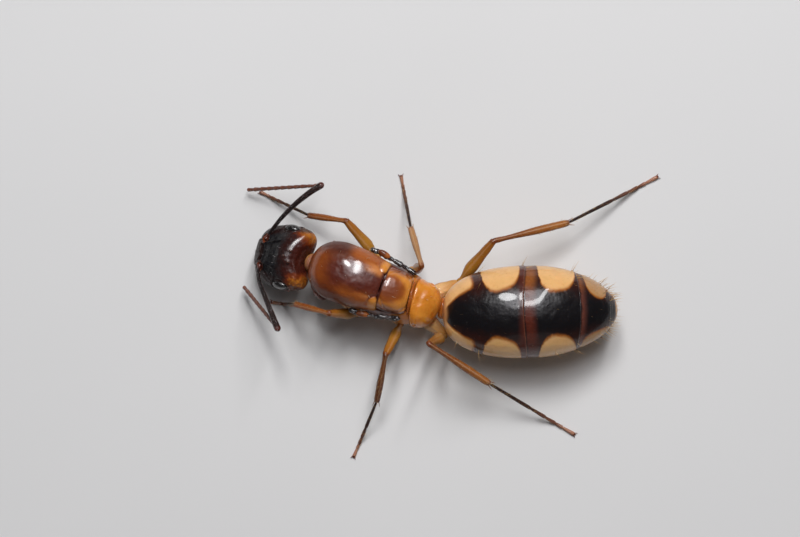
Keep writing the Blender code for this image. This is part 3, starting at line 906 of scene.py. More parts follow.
def head_depth(points):
    """The skull's egg with its hollow rear, and every seat, ridge and seam of its surface."""
    x, y, z = points.T
    inner = np.clip(1.0 - (y / HEAD_FORM[2][0]) ** 2, 0.0, 1.0) ** 2
    bare = x.copy()
    for _ in range(16):
        bare = x - OCCIPUT_HOLLOW * inner * np.clip(1.0 - bare / HEAD_FORM[1], 0.0, 1.2) ** 3
    depth = egg_depth(np.stack([bare, y, z], 1), HEAD_FORM, HEAD_SQUARENESS)
    above = soft_step(z, 0.1, 0.4)
    side = np.abs(y)
    # Sockets of the feelers, each a pit with a raised rim.
    socket = np.hypot(x - SOCKET_PLACE[0], side - SOCKET_PLACE[1])
    depth += above * (0.16 * bell(socket, 0.13) - 0.05 * bell(socket - 0.21, 0.05))
    # The S-shaped ridges that run back from between the sockets.
    ridge_run = np.clip((2.5 - x) / 1.15, 0.0, 1.0)
    ridge = side - (0.36 + 0.27 * ridge_run ** 1.4)
    depth -= above * 0.06 * bell(ridge, 0.045) * soft_step(x, 1.3, 1.6) * soft_step(x, 2.62, 2.4)
    # The crown swells where the simple eyes sit.
    depth -= above * 0.13 * bell(np.hypot(x - 1.0, y * 0.8), 0.55)
    # The frontal line, and the shield over the mouth with its keel.
    depth += above * 0.02 * bell(y, 0.025) * soft_step(x, 1.2, 1.4) * soft_step(x, 2.2, 2.05)
    shield_x, shield_length, shield_width = FACE_SHIELD
    shield = np.hypot((x - shield_x) / shield_length, y / shield_width)
    depth += above * (0.035 * bell(shield - 1.0, 0.06) - 0.05 * soft_step(shield, 1.0, 0.8))
    depth -= above * 0.03 * bell(y, 0.05) * soft_step(x, 2.3, 2.45)
    # Seats of the simple eyes.
    for place_x, place_y in OCELLI:
        depth -= above * 0.02 * bell(np.hypot(x - place_x, y - place_y), 0.08)
    # The groove and the raised rim round each compound eye.
    eye_x, eye_z = (x - EYE_PLACE[0]) / EYE_HALF_SIZE[0], (z - EYE_PLACE[2]) / EYE_HALF_SIZE[2]
    eye = np.sqrt(eye_x ** 2 + eye_z ** 2)
    depth += soft_step(side, 0.9, 1.1) * (0.05 * bell(eye - 1.02, 0.07) - 0.02 * bell(eye - 1.25, 0.1))
    # The throat's midline.
    depth += soft_step(z, -0.2, -0.5) * 0.03 * bell(y, 0.05)
    return depth


def oval_skin(place, half_size, level, squareness=2.0):
    """A closed lens, bead or scale."""
    long, wide, deep = half_size
    middle = (0.0, squareness, squareness)
    form = (-long, long, (wide, *middle), (deep, *middle), (deep, *middle), 0.0)
    return carve(lambda points: egg_depth(points, form, squareness), (0, 0, 0), half_size, level, place)


def eye_paint():
    """Facets in rows on a dark, faintly grey lens."""
    paint = shell("compound_eye", gloss=0.22, Subsurface_Weight=0.0, Coat_Weight=0.8)
    facets = paint.cells(paint.attribute("place"), 26.0, jitter=0.12)
    colour = paint.blend(facets.rise(0.2, 0.55), FACET_GREY, FACET_BLACK)
    return paint.finish(Base_Color=colour, Normal=paint.relief(facets.rise(0.6, 0.1), 0.006))


def lens_paint():
    """A simple eye: clear, with brown clouds under it."""
    paint = shell("simple_eye", gloss=0.12, Coat_Weight=1.0, Coat_Roughness=0.02)
    cloudy = paint.noise(paint.attribute("place"), 25.0)
    colour = paint.blend(cloudy, LENS_BROWN, LENS_AMBER)
    return paint.finish(Base_Color=colour, Roughness=0.1 + cloudy * 0.1)


def mandible_paint():
    """Black at the hinge and dark red towards the teeth, with streaks along the blade."""
    paint = shell("mandible_shell", gloss=0.3, Subsurface_Weight=0.05)
    place, share, *_ = paint.spread()
    streaks = paint.noise(paint.stretched(place, 3.0, 14.0, 14.0), 2.0, 3.0)
    colour = paint.blend(share.rise(0.35, 0.9), BLACK, DARK_RED)
    colour = paint.blend(streaks.rise(0.55, 0.75), colour, RED_BROWN)
    return paint.finish(Base_Color=colour, Normal=paint.relief(streaks, 0.02))


def curve_through(*places):
    """A smooth path through a few places, as a Bezier of their control polygon."""
    places = [np.array(place, float) for place in places]

    def path(share):
        level = list(places)
        while len(level) > 1:
            level = [a + (b - a) * share for a, b in zip(level, level[1:])]
        return level[0]

    return path


def straight(start, end, bow=(0.0, 0.0, 0.0)):
    """A path from start to end that bows by a vector at its middle."""
    start, end, bow = np.array(start), np.array(end), np.array(bow)
    return lambda share: start + (end - start) * share + bow * (4.0 * share * (1.0 - share))


def even(radius, reach):
    """The girth of a tube of one radius, rounded within a reach of each end."""
    return lambda share: radius * ends(share, reach, reach)


def spike(base, tip, radius, bend=(0.0, 0.0, 0.0)):
    """A tapering point, such as a spur or a claw."""
    def girth(share):
        taper = np.sqrt(np.clip(1.0 - share, 0.0, 1.0))
        return radius * taper * np.clip(share * 20.0 + 0.4, 0.0, 1.0)

    return tube(straight(base, tip, bend), girth, girth, np.linspace(0.0, 0.99, 7), sides=10)


def mandible_skin(side):
    """A domed blade with a round outer margin, and teeth along the edge that meets its fellow."""
    hinge_x, hinge_y = MANDIBLE_PIVOT

    def level(x):
        return -0.30 - 0.32 * (x - hinge_x)

    def depth_at(points):
        x, y, z = points[:, 0], points[:, 1] * side, points[:, 2]
        outer = np.hypot(x - hinge_x, y - hinge_y) - MANDIBLE_REACH
        wave = np.cos((x - hinge_x) * math.tau / TOOTH_SPACING) * soft_step(x, 2.8, 2.95)
        edge = MANDIBLE_GAP + TOOTH_HEIGHT * wave - y
        blade = round_most(round_most(outer, edge, 0.03), hinge_x - 0.1 - x, 0.05)
        share = np.clip((x - hinge_x) / MANDIBLE_REACH, 0.0, 1.0)
        thickness = 0.19 * (1.0 - 0.5 * share) * (0.4 + 0.6 * soft_step(y, 0.0, 0.45))
        return round_most(blade, np.abs(z - level(x)) - thickness, 0.14)

    centre_x, centre_y = 2.86, 0.42
    centre = np.array((centre_x, centre_y * side, level(centre_x)))
    skin = carve(depth_at, centre, (0.55, 0.5, 0.2), 6, HEAD)
    share = (skin.points[:, 0] - hinge_x) / MANDIBLE_REACH
    skin.readings = np.stack([share, skin.points[:, 2], skin.points[:, 1]], 1)
    return skin


def palp_skin():
    """The jointed feelers of the mouth, folded back under the head."""
    skins = []
    for side in (1.0, -1.0):
        for *places, radius, joints in PALPS:
            def girth(share):
                return radius * (0.82 + 0.18 * np.sin(share * joints * math.tau)) * ends(share, 0.05, 0.05)

            path = curve_through(*(mirrored(place, side) for place in places))
            skins.append(tube(path, girth, girth, rounded(40), sides=12, place=HEAD))
    return merged(skins)


def build_head():
    """The skull with its eyes and mouthparts. It hands back the skull, which gets its hairs last."""
    skull = carve(head_depth, (1.45, 0.0, 0.0), (1.5, 1.36, 0.9), 7, HEAD)
    dress("head_capsule", skull, head_paint(), "black_shell", "head")
    eye_finish, blade_finish = eye_paint(), mandible_paint()
    for name, side in (("left", 1.0), ("right", -1.0)):
        eye = oval_skin(HEAD @ Matrix.Translation(mirrored(EYE_PLACE, side)), EYE_HALF_SIZE, 5)
        dress(f"compound_eye_{name}", eye, eye_finish, "eye", f"eye_{name}")
        blade = mandible_skin(side)
        dress(f"toothed_mandible_{name}", blade, blade_finish, "black_shell", f"mandible_{name}")
    lenses = [oval_skin(HEAD @ Matrix.Translation((*spot, height)), [OCELLUS_RADIUS] * 3, 4)
              for spot, height in zip(OCELLI, OCELLUS_HEIGHTS)]
    dress("ocelli", merged(lenses), lens_paint(), "eye")
    dress("mouth_palps", palp_skin(), FINISHES["limb_brown"], "dark_leg")
    return skull


# ---------------------------------------------------------------------------------------------- feelers

def limb_texture(paint, place):
    """Streaks that run along a limb, and the fine grain of its surface."""
    speckle = paint.noise(paint.stretched(place, 9.0, 1.6, 1.6), 3.0, 3.0)
    grain = paint.noise(paint.stretched(place, 60.0, 5.0, 5.0), 1.0)
    return speckle, paint.relief(grain, 0.012)


def limb_paint(name, base, tip, dark, mottle=0.5, gloss=0.36, painted_highlight=0.1):
    """Thin cuticle with light in it: one colour at its root, another at its far end, darker streaks, painted
    shade along its sides and underside, and a painted highlight along its top.
    """
    paint = shell(name, gloss=gloss, Coat_Weight=0.35, Specular_IOR_Level=0.25)
    place, share, over, across = paint.spread()
    speckle, normal = limb_texture(paint, place)
    colour = paint.blend(share.rise(0.15, 0.95), base, tip)
    joint = share.rise(0.09, 0.02).most(share.rise(0.93, 0.98))
    colour = paint.blend(joint * 0.7, colour, dark)
    # Painted shade: darker along the limb's sides and its underside.
    edge = (abs(across) + speckle * 0.3 - over * 0.15).rise(0.75, 1.25)
    colour = paint.blend(edge * 0.55, colour, dark)
    # A painted highlight: a pale streak along the top of the limb, blended in by the last argument.
    ridge = (over - abs(across - 0.2) * 1.6 + (speckle - 0.5) * 1.4).rise(0.45, 0.95)
    colour = paint.blend(ridge * painted_highlight, colour, TOP_HIGHLIGHT_TAN)
    colour = paint.blend(speckle.rise(0.5, 0.8) * mottle, colour, dark)
    return paint.finish(Base_Color=colour, Normal=normal, Roughness=gloss + speckle * 0.12)


def foot_paint():
    """The five joints of a foot, from nearly black at the ankle to a tan last joint."""
    paint = shell("tarsus_shell", gloss=0.4, Coat_Weight=0.2, Specular_IOR_Level=0.25)
    place, share, *_ = paint.spread()
    number = paint.add("ShaderNodeAttribute", {"attribute_name": "number"}, {}, "Fac")
    speckle, normal = limb_texture(paint, place)
    along_foot = number + share * 0.28 + speckle * 0.1
    colour = paint.blend(along_foot.rise(0.16, 0.7), FOOT_BLACK, FOOT_BROWN)
    colour = paint.blend(along_foot.rise(0.85, 1.15), colour, FOOT_TAN)
    colour = paint.blend(speckle.rise(0.5, 0.8) * 0.5, colour, FOOT_STREAK)
    return paint.finish(Base_Color=colour, Normal=normal)


def scape_girth(share):
    """Narrow behind the ball in its socket, and thicker towards the elbow."""
    ball = 0.035 * bell(share - 0.012, 0.012)
    neck = 0.012 * bell(share - 0.05, 0.02)
    return (0.072 + 0.075 * share ** 1.2 + ball - neck) * ends(share, 0.012, 0.05)


def scape_skin(name, socket, way, elbow):
    """The long first joint of a feeler, which bows, and may crook near its root."""
    bowed = straight(socket - way * 0.06, elbow + way * 0.1, FEELER_POSES[name][2])
    crook = np.array(SCAPE_CROOKS[name]) * 12.2  # a crook's peak along the shaft is 1 / 12.2 of its factor

    def shaft(share):
        return bowed(share) + crook * share * (1.0 - share) ** 4

    near_ends = np.linspace(0, 0.1, 18)
    stations = np.concatenate([near_ends, np.linspace(0.1, 0.9, 40), 1.0 - near_ends ** 1.3])
    return tube(shaft, scape_girth, scape_girth, np.unique(stations), sides=28)


def build_feelers(bead):
    """Both feelers, each a scape and a jointed whip, and the down on them."""
    scapes, whips = [], []
    for name, side in (("right", -1.0), ("left", 1.0)):
        scape_angles, whip_angles, _ = FEELER_POSES[name]
        socket = THORAX.inverted() @ HEAD @ mirrored(SOCKET_PLACE, side)
        way = direction(*scape_angles)
        elbow = socket + way * SCAPE_LENGTH
        scape = scape_skin(name, socket, way, elbow)
        dress(f"scape_shaft_{name}", scape, FINISHES["scape"], "black_shell", f"scape_{name}")
        scape.furry = soft_step(scape.readings[:, 0], 0.03, 0.2)
        scapes.append(scape)

        path = straight(elbow, elbow + direction(*whip_angles) * FUNICULUS_LENGTH)
        shares = np.concatenate([[0.0], 0.10 + 0.9 * np.linspace(0.0, 1.0, FLAGELLOMERES)])
        thickness = np.linspace(0.17, 0.185, FLAGELLOMERES)
        thickness[1] = 0.15
        thickness[-1] = 0.165
        whip = bead_chain(f"whip_{name}", path, shares, thickness, FINISHES["whip"], bead)
        settle(whip, "dark_leg", f"funiculus_{name}")
        whips.append(tube(path, even(0.075, 0.02), even(0.075, 0.02), rounded(30), sides=16))
    down = dict(paint=FINISHES["silver_setae"], scatter=0.2, curl=0.15)
    setae("scape_down", scapes, density=110.0, length=0.09, thickness=0.0035, lean=0.74, seed=3, **down)
    setae("whip_down", whips, density=220.0, length=0.06, thickness=0.003, lean=0.6, seed=4, **down)


# ---------------------------------------------------------------------------------------------- thorax

def plate_skin(form, cuts, centre, reach, level=6, rounding=0.07, detail=None, squareness=2.2, place=THORAX):
    """A form that is cut off at seams, with the finer shape that a detail adds."""
    def depth_at(points):
        depth = egg_depth(points, form, squareness)
        for seam, side in cuts:
            depth = round_most(depth, seam_depth(points, seam, side), rounding)
        if detail is not None:
            depth = depth + detail(points)
        return depth

    return carve(depth_at, centre, reach, level, place)


def scutum_detail(points):
    """The lines of the mesoscutum and the two lobes at its rear corners."""
    x, y, z = points.T
    side = np.abs(y)
    above = soft_step(z, 2.8, 3.0)
    line = 0.004 * bell(side - (0.62 + 0.05 * x), 0.06) * soft_step(x, -1.9, -1.3) * soft_step(x, -0.6, -1.0)
    middle = 0.004 * bell(y, 0.06) * soft_step(x, -3.2, -3.0) * soft_step(x, -2.1, -2.5)
    lobe = np.hypot((x + 0.22) / 0.27, (side - 0.82) / 0.32)
    lobes = 0.03 * bell(lobe - 1.05, 0.2) * soft_step(side, 1.0, 0.85) - 0.06 * bell(lobe, 0.75)
    waist = 0.02 * bell(x + 0.2, 0.3) * soft_step(side, 0.6, 0.2)
    return above * (line + middle + lobes + waist)


def scutellum_detail(points):
    """A shallow groove inside its rim."""
    x, y, z = points.T
    above = soft_step(z, 2.8, 3.0)
    rim = np.hypot((x - 0.5) / 0.68, y / 0.84)
    return above * 0.03 * bell(rim - 1.02, 0.05)


def propodeum_detail(points):
    """Breathing holes on its sides and a shallow saddle behind the metanotum."""
    x, y, z = points.T
    side = np.abs(y)
    hole = np.hypot(x - 1.75, (z - 2.85) * 0.8)
    rim = soft_step(side, 0.6, 0.75)
    return rim * (0.05 * bell(hole, 0.07) - 0.025 * bell(hole - 0.12, 0.035)) + 0.03 * bell(x - 1.5, 0.14)


def pleuron_detail(points):
    """Furrows that part the side plates, and flanks that fill out above the middle legs."""
    x, y, z = points.T
    beside = soft_step(np.abs(y), 0.5, 0.8)
    furrow = 0.05 * bell((z - 2.1) + 0.25 * (x + 0.8), 0.05)
    furrow = furrow * soft_step(x, -2.0, -1.7) * soft_step(x, 0.3, 0.0)
    joint = 0.06 * bell(x - 0.55 - 0.25 * (z - 2.0), 0.06)
    joint = joint - np.where(y < 0.0, 0.2, 0.07) * bell(x - 1.25, 0.5) * bell(z - 2.3, 0.5)
    return beside * (furrow + joint) + 0.04 * bell(y, 0.06) * soft_step(z, 1.9, 1.5)


def pronotum_detail(points):
    """A low ridge across the collar."""
    x, y, z = points.T
    return -0.03 * bell((x + 2.95) - 0.25 * (np.abs(y) - 0.4), 0.08) * soft_step(z, 2.0, 2.3)


def thorax_normal(paint, place):
    """The thorax's lumps, waves, grain and pits."""
    lumpy = paint.relief(paint.noise(place, 2.6), 0.045)
    return cuticle_relief(paint, place, dents=3.4, waves=0.045, under=lumpy)


def thorax_shell(name, gloss=0.42, **constants):
    """The thorax's plates glow more widely round their highlights than the gaster does."""
    return shell(name, gloss, **{"Specular_IOR_Level": 0.32, "Coat_Roughness": 0.11, **constants})


def scutum_paint():
    """Dark red-brown down the middle, amber along both sides, orange in front, with clouded edges, painted
    shade on the left flank, and dark red low on the sides, partly painted shade.
    """
    paint = thorax_shell("scutum_shell")
    place, x, y, z = paint.spread()
    cloud = paint.cloud(place, 1.1)
    mottle = paint.cloud(place, 3.2)
    side = abs(y) + cloud * 0.35 + mottle * 0.12
    colour = paint.blend(mottle.rise(-0.2, 0.3), SCUTUM_DARK, RED_BROWN)
    flank = side.rise(0.35, 0.85) * (x + cloud * 0.5).rise(-2.6, -1.5)
    colour = paint.blend(flank, colour, ORANGE_BROWN)
    colour = paint.blend(side.near(0.68, 0.16) * x.rise(-1.3, -0.7) * 0.7, colour, SCUTUM_STRIPE)
    front = (x - side * 0.35 + cloud * 0.8).rise(-2.3, -3.0)
    colour = paint.blend(front * 0.9, colour, SCUTUM_FRONT)
    shoulder = y.rise(0.3, 0.9) * x.rise(-1.5, -2.1)
    colour = paint.blend(shoulder * 0.85, colour, DARK_RED)
    # Painted shade: a darker red over the left flank, more towards the front.
    painted_left_shade = (cloud * 0.3 - y - x * 0.25).rise(1.15, 1.55)
    colour = paint.blend(painted_left_shade * 0.75, colour, SCUTUM_SHADE_RED)
    lobe = (((x + 0.2) / 0.26) ** 2.0 + ((abs(y) - 0.84) / 0.3) ** 2.0) ** 0.5
    colour = paint.blend(lobe.rise(1.3, 0.5), colour, SCUTUM_LOBE)
    inside_lobe = lobe.near(1.2, 0.25) * abs(y).rise(0.85, 0.65)
    colour = paint.blend(inside_lobe * x.rise(-0.75, -0.45), colour, RED_BROWN)
    rear = (x - abs(y) * 0.05).rise(-0.3, -0.14)
    colour = paint.blend(rear * lobe.rise(0.7, 1.1), colour, DARK_RED)
    # Dark red low on its sides: a dark rim at the seam below, deepened as painted shade where the plate
    # turns down.
    colour = paint.blend(z.rise(3.0, 2.8), colour, DARK_RED)
    peach = (y - cloud * 0.3).near(0.52, 0.3) * x.rise(-1.25, -0.65) * x.rise(-0.22, -0.4)
    colour = paint.blend(peach * 0.85, colour, SCUTUM_PEACH)
    wax = (abs(y) + cloud * 0.2).rise(1.1, 0.5) * z.rise(3.05, 3.35) * 0.85 + 0.12
    return paint.finish(Base_Color=colour, Normal=thorax_normal(paint, place), Coat_Weight=wax)


def scutellum_paint():
    """Brown in the middle, with chestnut flanks and an orange rear."""
    paint = thorax_shell("scutellum_shell", Coat_Weight=0.75, Coat_Roughness=0.08)
    place, x, y, z = paint.spread()
    cloud = paint.cloud(place, 1.6)
    mottle = paint.cloud(place, 4.0)
    reach = (((x - 0.15) / 0.8) ** 2.0 + (y / 0.66) ** 2.0) ** 0.5 + cloud * 0.3 + mottle * 0.15
    colour = paint.blend(reach.rise(0.35, 0.95), SCUTELLUM_BROWN, ORANGE_BROWN)
    rear = reach.rise(0.75, 1.1) * abs(y).rise(0.95, 0.55)
    colour = paint.blend(rear * 0.9, colour, SCUTELLUM_ORANGE)
    colour = paint.blend((abs(y) + mottle * 0.2).rise(0.6, 0.88) * 0.6, colour, CHESTNUT)
    colour = paint.blend((z + y * 0.2).rise(3.26, 3.05), colour, CHESTNUT)
    colour = paint.blend(x.rise(1.02, 1.14), colour, CHESTNUT)
    colour = paint.blend(x.rise(-0.05, -0.12), colour, DARK_RED)
    return paint.finish(Base_Color=colour, Normal=thorax_normal(paint, place))


def mesosoma_paint(name, low_colour, high_colour, level, spread, rear_colour=None):
    """Shell that changes colour with its height, with clouded borders, and may turn paler to the rear."""
    paint = thorax_shell(name, gloss=0.36, Coat_Weight=0.3, Specular_IOR_Level=0.25)
    place, x, _, z = paint.spread()
    cloud = paint.cloud(place, 1.4)
    colour = paint.blend((z + cloud * 0.5).rise(level - spread, level + spread), low_colour, high_colour)
    colour = paint.blend(paint.noise(place, 4.0, 3.0).rise(0.5, 0.8) * 0.35, colour, CHESTNUT)
    if rear_colour is not None:
        colour = paint.blend((x + cloud * 0.4).rise(0.4, 0.95), colour, rear_colour)
    return paint.finish(Base_Color=colour, Normal=thorax_normal(paint, place))


def propodeum_paint():
    """Bright orange saddle, a little redder at its seams and low on its sides."""
    paint = thorax_shell(
        "propodeum_shell", gloss=0.3, Coat_Weight=0.75, Coat_Roughness=0.07, Subsurface_Weight=0.3,
        Specular_IOR_Level=0.25,
    )
    place, x, y, z = paint.spread()
    cloud = paint.cloud(place, 1.7)
    mottle = paint.cloud(place, 5.0)
    colour = paint.blend((cloud + mottle * 0.5).rise(-0.25, 0.3), PROPODEUM_DEEP, PROPODEUM_BRIGHT)
    colour = paint.blend((z + cloud * 0.4).rise(2.6, 1.7) * 0.7, colour, ORANGE_BROWN)
    colour = paint.blend((x + 0.2 * y + 0.14 * z).rise(1.78, 1.68) * 0.8, colour, CHESTNUT)
    return paint.finish(Base_Color=colour, Normal=thorax_normal(paint, place))


def scar_paint():
    """Hard black cuticle with dark red streaks along it."""
    paint = shell(
        "wing_scar_shell", gloss=0.18, Coat_Weight=1.0, Coat_Roughness=0.03, Subsurface_Weight=0.03
    )
    place = paint.attribute("place")
    streaks = paint.noise(paint.stretched(place, 6.0, 1.0, 1.0), 2.0, 3.0)
    furrows = paint.noise(paint.stretched(place, 14.0, 2.0, 2.0), 2.0)
    colour = paint.blend(streaks.rise(0.5, 0.7), BLACK, DARK_RED)
    return paint.finish(Base_Color=colour, Normal=paint.relief(furrows, 0.06))


def scar_skin(side, seed):
    """The knobbly row of hard stumps that a queen's cast wings leave."""
    random = np.random.default_rng(seed)
    line = straight(mirrored(WING_SCAR_FRONT, side), mirrored(WING_SCAR_REAR, side), (0.0, side * 0.06, 0.0))

    def width(share):
        uneven = STUMP_RADIUS + 0.018 * np.sin(share * 23.0) + 0.012 * np.sin(share * 61.0)
        return uneven * ends(share, 0.08, 0.08)

    def height(share):
        return (STUMP_RADIUS + 0.016 * np.sin(share * 19.0 + 2.0)) * ends(share, 0.08, 0.08)

    skins = [tube(line, width, height, rounded(72), sides=40)]
    for _ in range(STUMP_LUMPS):
        share = random.uniform(0.05, 0.95)
        aside, aloft = side * random.uniform(-0.06, 0.09), random.uniform(0.0, 0.08)
        place = Vector(line(share)) + Vector((0.0, aside, aloft))
        half_size = random.uniform(0.06, 0.2), random.uniform(0.035, 0.07), random.uniform(0.04, 0.08)
        turn = Matrix.Rotation(random.uniform(-0.5, 0.5), 4, "Z")
        lump = oval_skin(THORAX @ Matrix.Translation(place) @ turn, half_size, 4)
        lump.readings = lump.points + np.array((share, 0.0, 0.0))
        skins.append(lump)
    return merged(skins)


def tegula_skin(side):
    """The small scale that covered the root of the fore wing."""
    place = THORAX @ Matrix.Translation(mirrored(TEGULA_PLACE, side))
    turn = Matrix.Rotation(-0.2 * side, 4, "Z") @ Matrix.Rotation(0.35 * side, 4, "X")
    return oval_skin(place @ turn, TEGULA_HALF_SIZE, 4)


def thorax_skins():
    """The plates from the neck back, each cut off at its seams."""
    rear_seam = METANOTAL_SEAM[0] + METANOTAL_SEAM[1] * METANOTUM_THICKNESS, METANOTAL_SEAM[1]
    lip_seam = SCUTELLAR_SEAM[0] - SCUTELLAR_SEAM[1] * SCUTELLUM_LIP, SCUTELLAR_SEAM[1]
    turned = Matrix.Translation((0.0, PROPODEUM_SHIFT, 0.0)) @ Matrix.Rotation(-PROPODEUM_TURN, 4, "Z")
    turned_seam = (
        np.array(turned.inverted() @ Vector(rear_seam[0])),
        np.array(turned.to_3x3().inverted() @ Vector(rear_seam[1])),
    )
    narrowed = Matrix.Translation((0.0, -0.045, 0.0)) @ Matrix.Diagonal((1.0, 0.965, 1.0, 1.0))

    neck = plate_skin(NECK, (), (-3.0, 0.0, 2.2), (0.6, 0.46, 0.5), level=5)
    pronotum = plate_skin(
        PRONOTUM, ((RIM_SEAM, 1), (PLEURAL_SEAM, 1)), (-2.55, 0.0, 2.1), (0.7, 1.38, 0.8),
        detail=pronotum_detail, place=THORAX @ narrowed,
    )
    scutum = plate_skin(
        SCUTUM, ((RIM_SEAM, -1), (SCUTELLAR_SEAM, 1)), (-1.6, 0.0, 3.2), (1.8, 1.28, 1.1),
        level=7, rounding=0.03, detail=scutum_detail, squareness=2.4,
    )
    pleuron = plate_skin(
        PLEURON, ((RIM_SEAM, 1), (PLEURAL_SEAM, -1), (rear_seam, 1)), (-0.5, 0.0, 2.1), (2.0, 1.14, 0.9),
        detail=pleuron_detail,
    )
    scutellum = plate_skin(
        SCUTELLUM, ((RIM_SEAM, -1), (lip_seam, -1), (METANOTAL_SEAM, 1)), (0.5, 0.0, 3.2), (0.7, 0.86, 0.8),
        rounding=0.06, detail=scutellum_detail, squareness=2.35,
    )
    metanotum = plate_skin(
        METANOTUM, ((RIM_SEAM, -1), (METANOTAL_SEAM, -1), (rear_seam, 1)), (1.3, 0.0, 3.0), (0.2, 0.92, 0.6),
        rounding=0.06,
    )
    propodeum = plate_skin(
        PROPODEUM, ((turned_seam, -1),), (1.85, 0.0, 2.3), (0.6, 1.02, 1.0),
        rounding=0.09, detail=propodeum_detail, squareness=2.7, place=THORAX @ turned,
    )
    return neck, pronotum, scutum, pleuron, scutellum, metanotum, propodeum


def build_thorax():
    """The plates in their colours, the stumps of the cast wings, and the hairs on top."""
    neck, pronotum, scutum, pleuron, scutellum, metanotum, propodeum = thorax_skins()
    throat = mesosoma_paint("neck_shell", NECK_AMBER, NECK_ROSE, 2.4, 0.15)
    collar = mesosoma_paint("pronotum_shell", DARK_RED, CHESTNUT, 2.3, 0.3)
    flank = mesosoma_paint("pleuron_shell", FLANK_BROWN, RED_BROWN, 2.1, 0.4, rear_colour=FLANK_ORANGE)
    band = mesosoma_paint("metanotum_shell", BAND_ORANGE, ORANGE_BROWN, 3.2, 0.3)
    for name, skin, paint, slot, node in (
        ("neck_joint", neck, throat, "brown_shell", "neck"),
        ("pronotum_collar", pronotum, collar, "brown_shell", "pronotum"),
        ("scutum_plate", scutum, scutum_paint(), "brown_shell", "scutum"),
        ("pleuron_plate", pleuron, flank, "brown_shell", "pleuron"),
        ("scutellum_plate", scutellum, scutellum_paint(), "brown_shell", "scutellum"),
        ("metanotum_band", metanotum, band, "brown_shell", "metanotum"),
        ("propodeum_saddle", propodeum, propodeum_paint(), "orange_shell", "propodeum"),
    ):
        dress(name, skin, paint, slot, node)
    scar_finish = scar_paint()
    for seed, (name, side) in enumerate(SIDES, start=11):
        stumps = scar_skin(side, seed)
        dress(f"wing_stumps_{name}", stumps, scar_finish, "black_shell", f"wing_scar_{name}")
        dress(f"tegula_{name}", tegula_skin(side), FINISHES["tegula"], "brown_shell")
    hairy = scutum, scutellum, propodeum, pronotum
    for plate in hairy:
        plate.furry = soft_step(placed(plate.points, THORAX)[:, 2] / MM, 2.9, 3.1)
    setae(
        "thorax_setae", hairy, FINISHES["pale_setae"], density=1.3, length=0.2, thickness=0.006, lean=0.25,
        scatter=0.3, seed=8,
    )


# ---------------------------------------------------------------------------------------------- gaster

def gaster_patch(number, t, side, left, cloud, fine):
    """How far each place on a plate is inside its cream patches."""
    if number == 1:
        black_edge = (t - 0.014 + cloud * 0.008).most(0.000001) ** 0.22 * 1.02
        rear_end = (t + side * 0.02 + cloud * 0.012).rise(0.205, 0.165)
        return (side - black_edge).rise(-0.08, 0.12) * rear_end
    if number == 5:
        end = t + fine * 0.004
        ring = end.rise(0.982, 0.988) * (1.0 - end.rise(0.993, 0.998) * 0.72)
        return ring.most(side.rise(0.84, 0.98) * 0.9)
    middle, half_length, inner = GASTER_PATCHES[number]
    from_middle = t - middle + cloud * 0.012 + fine * 0.006
    reach = abs(from_middle / half_length)
    slant = 0.07
    if number == 4:  # the left patch is longer than the right one, and narrower
        reach = (from_middle / (left * 0.03 + half_length)).most(-from_middle / (left * 0.02 + half_length))
        inner = left * 0.17 + inner
        slant = left * 0.12 - 0.12
    bulge = (1.0 - reach.least(1.0) ** 2.8) ** 0.45 * (1.08 - inner)
    edge = 1.08 - bulge + (t - middle) / half_length * slant
    patch = (side - edge).rise(-0.09, 0.11) * reach.rise(1.1, 0.88)
    if number == 4:
        patch = patch.most(side.rise(0.84, 0.98) * t.rise(0.9, 0.93))
    return patch


def gaster_saddle(paint, number, y, t, bow, side, cloud, fine):
    """Black that turns brown down its sides, with a translucent red front where the plate before it ends."""
    saddle = paint.blend((side + cloud * 0.3).rise(0.25, 0.95), BLACK, SADDLE_BROWN)
    if number == 2:
        return paint.blend((t + cloud * 0.01).rise(0.405, 0.45) * 0.6, saddle, SADDLE_REAR)
    if number not in GASTER_VEILS:
        return saddle
    start, width, full_width, red = GASTER_VEILS[number]
    along_plate = t - start - bow * GASTER_SEAM_BOWS[number - 2] + cloud * 0.012 + fine * 0.006
    veil = along_plate.rise(-0.004, 0.01) * along_plate.rise(width, full_width)
    veil = veil * (0.8 + fine * 0.7 + cloud * 0.5) * side.rise(1.3, 0.75)
    return paint.blend(veil, saddle, paint.blend(y.rise(0.5, 1.35), red, VEIL_ORANGE))


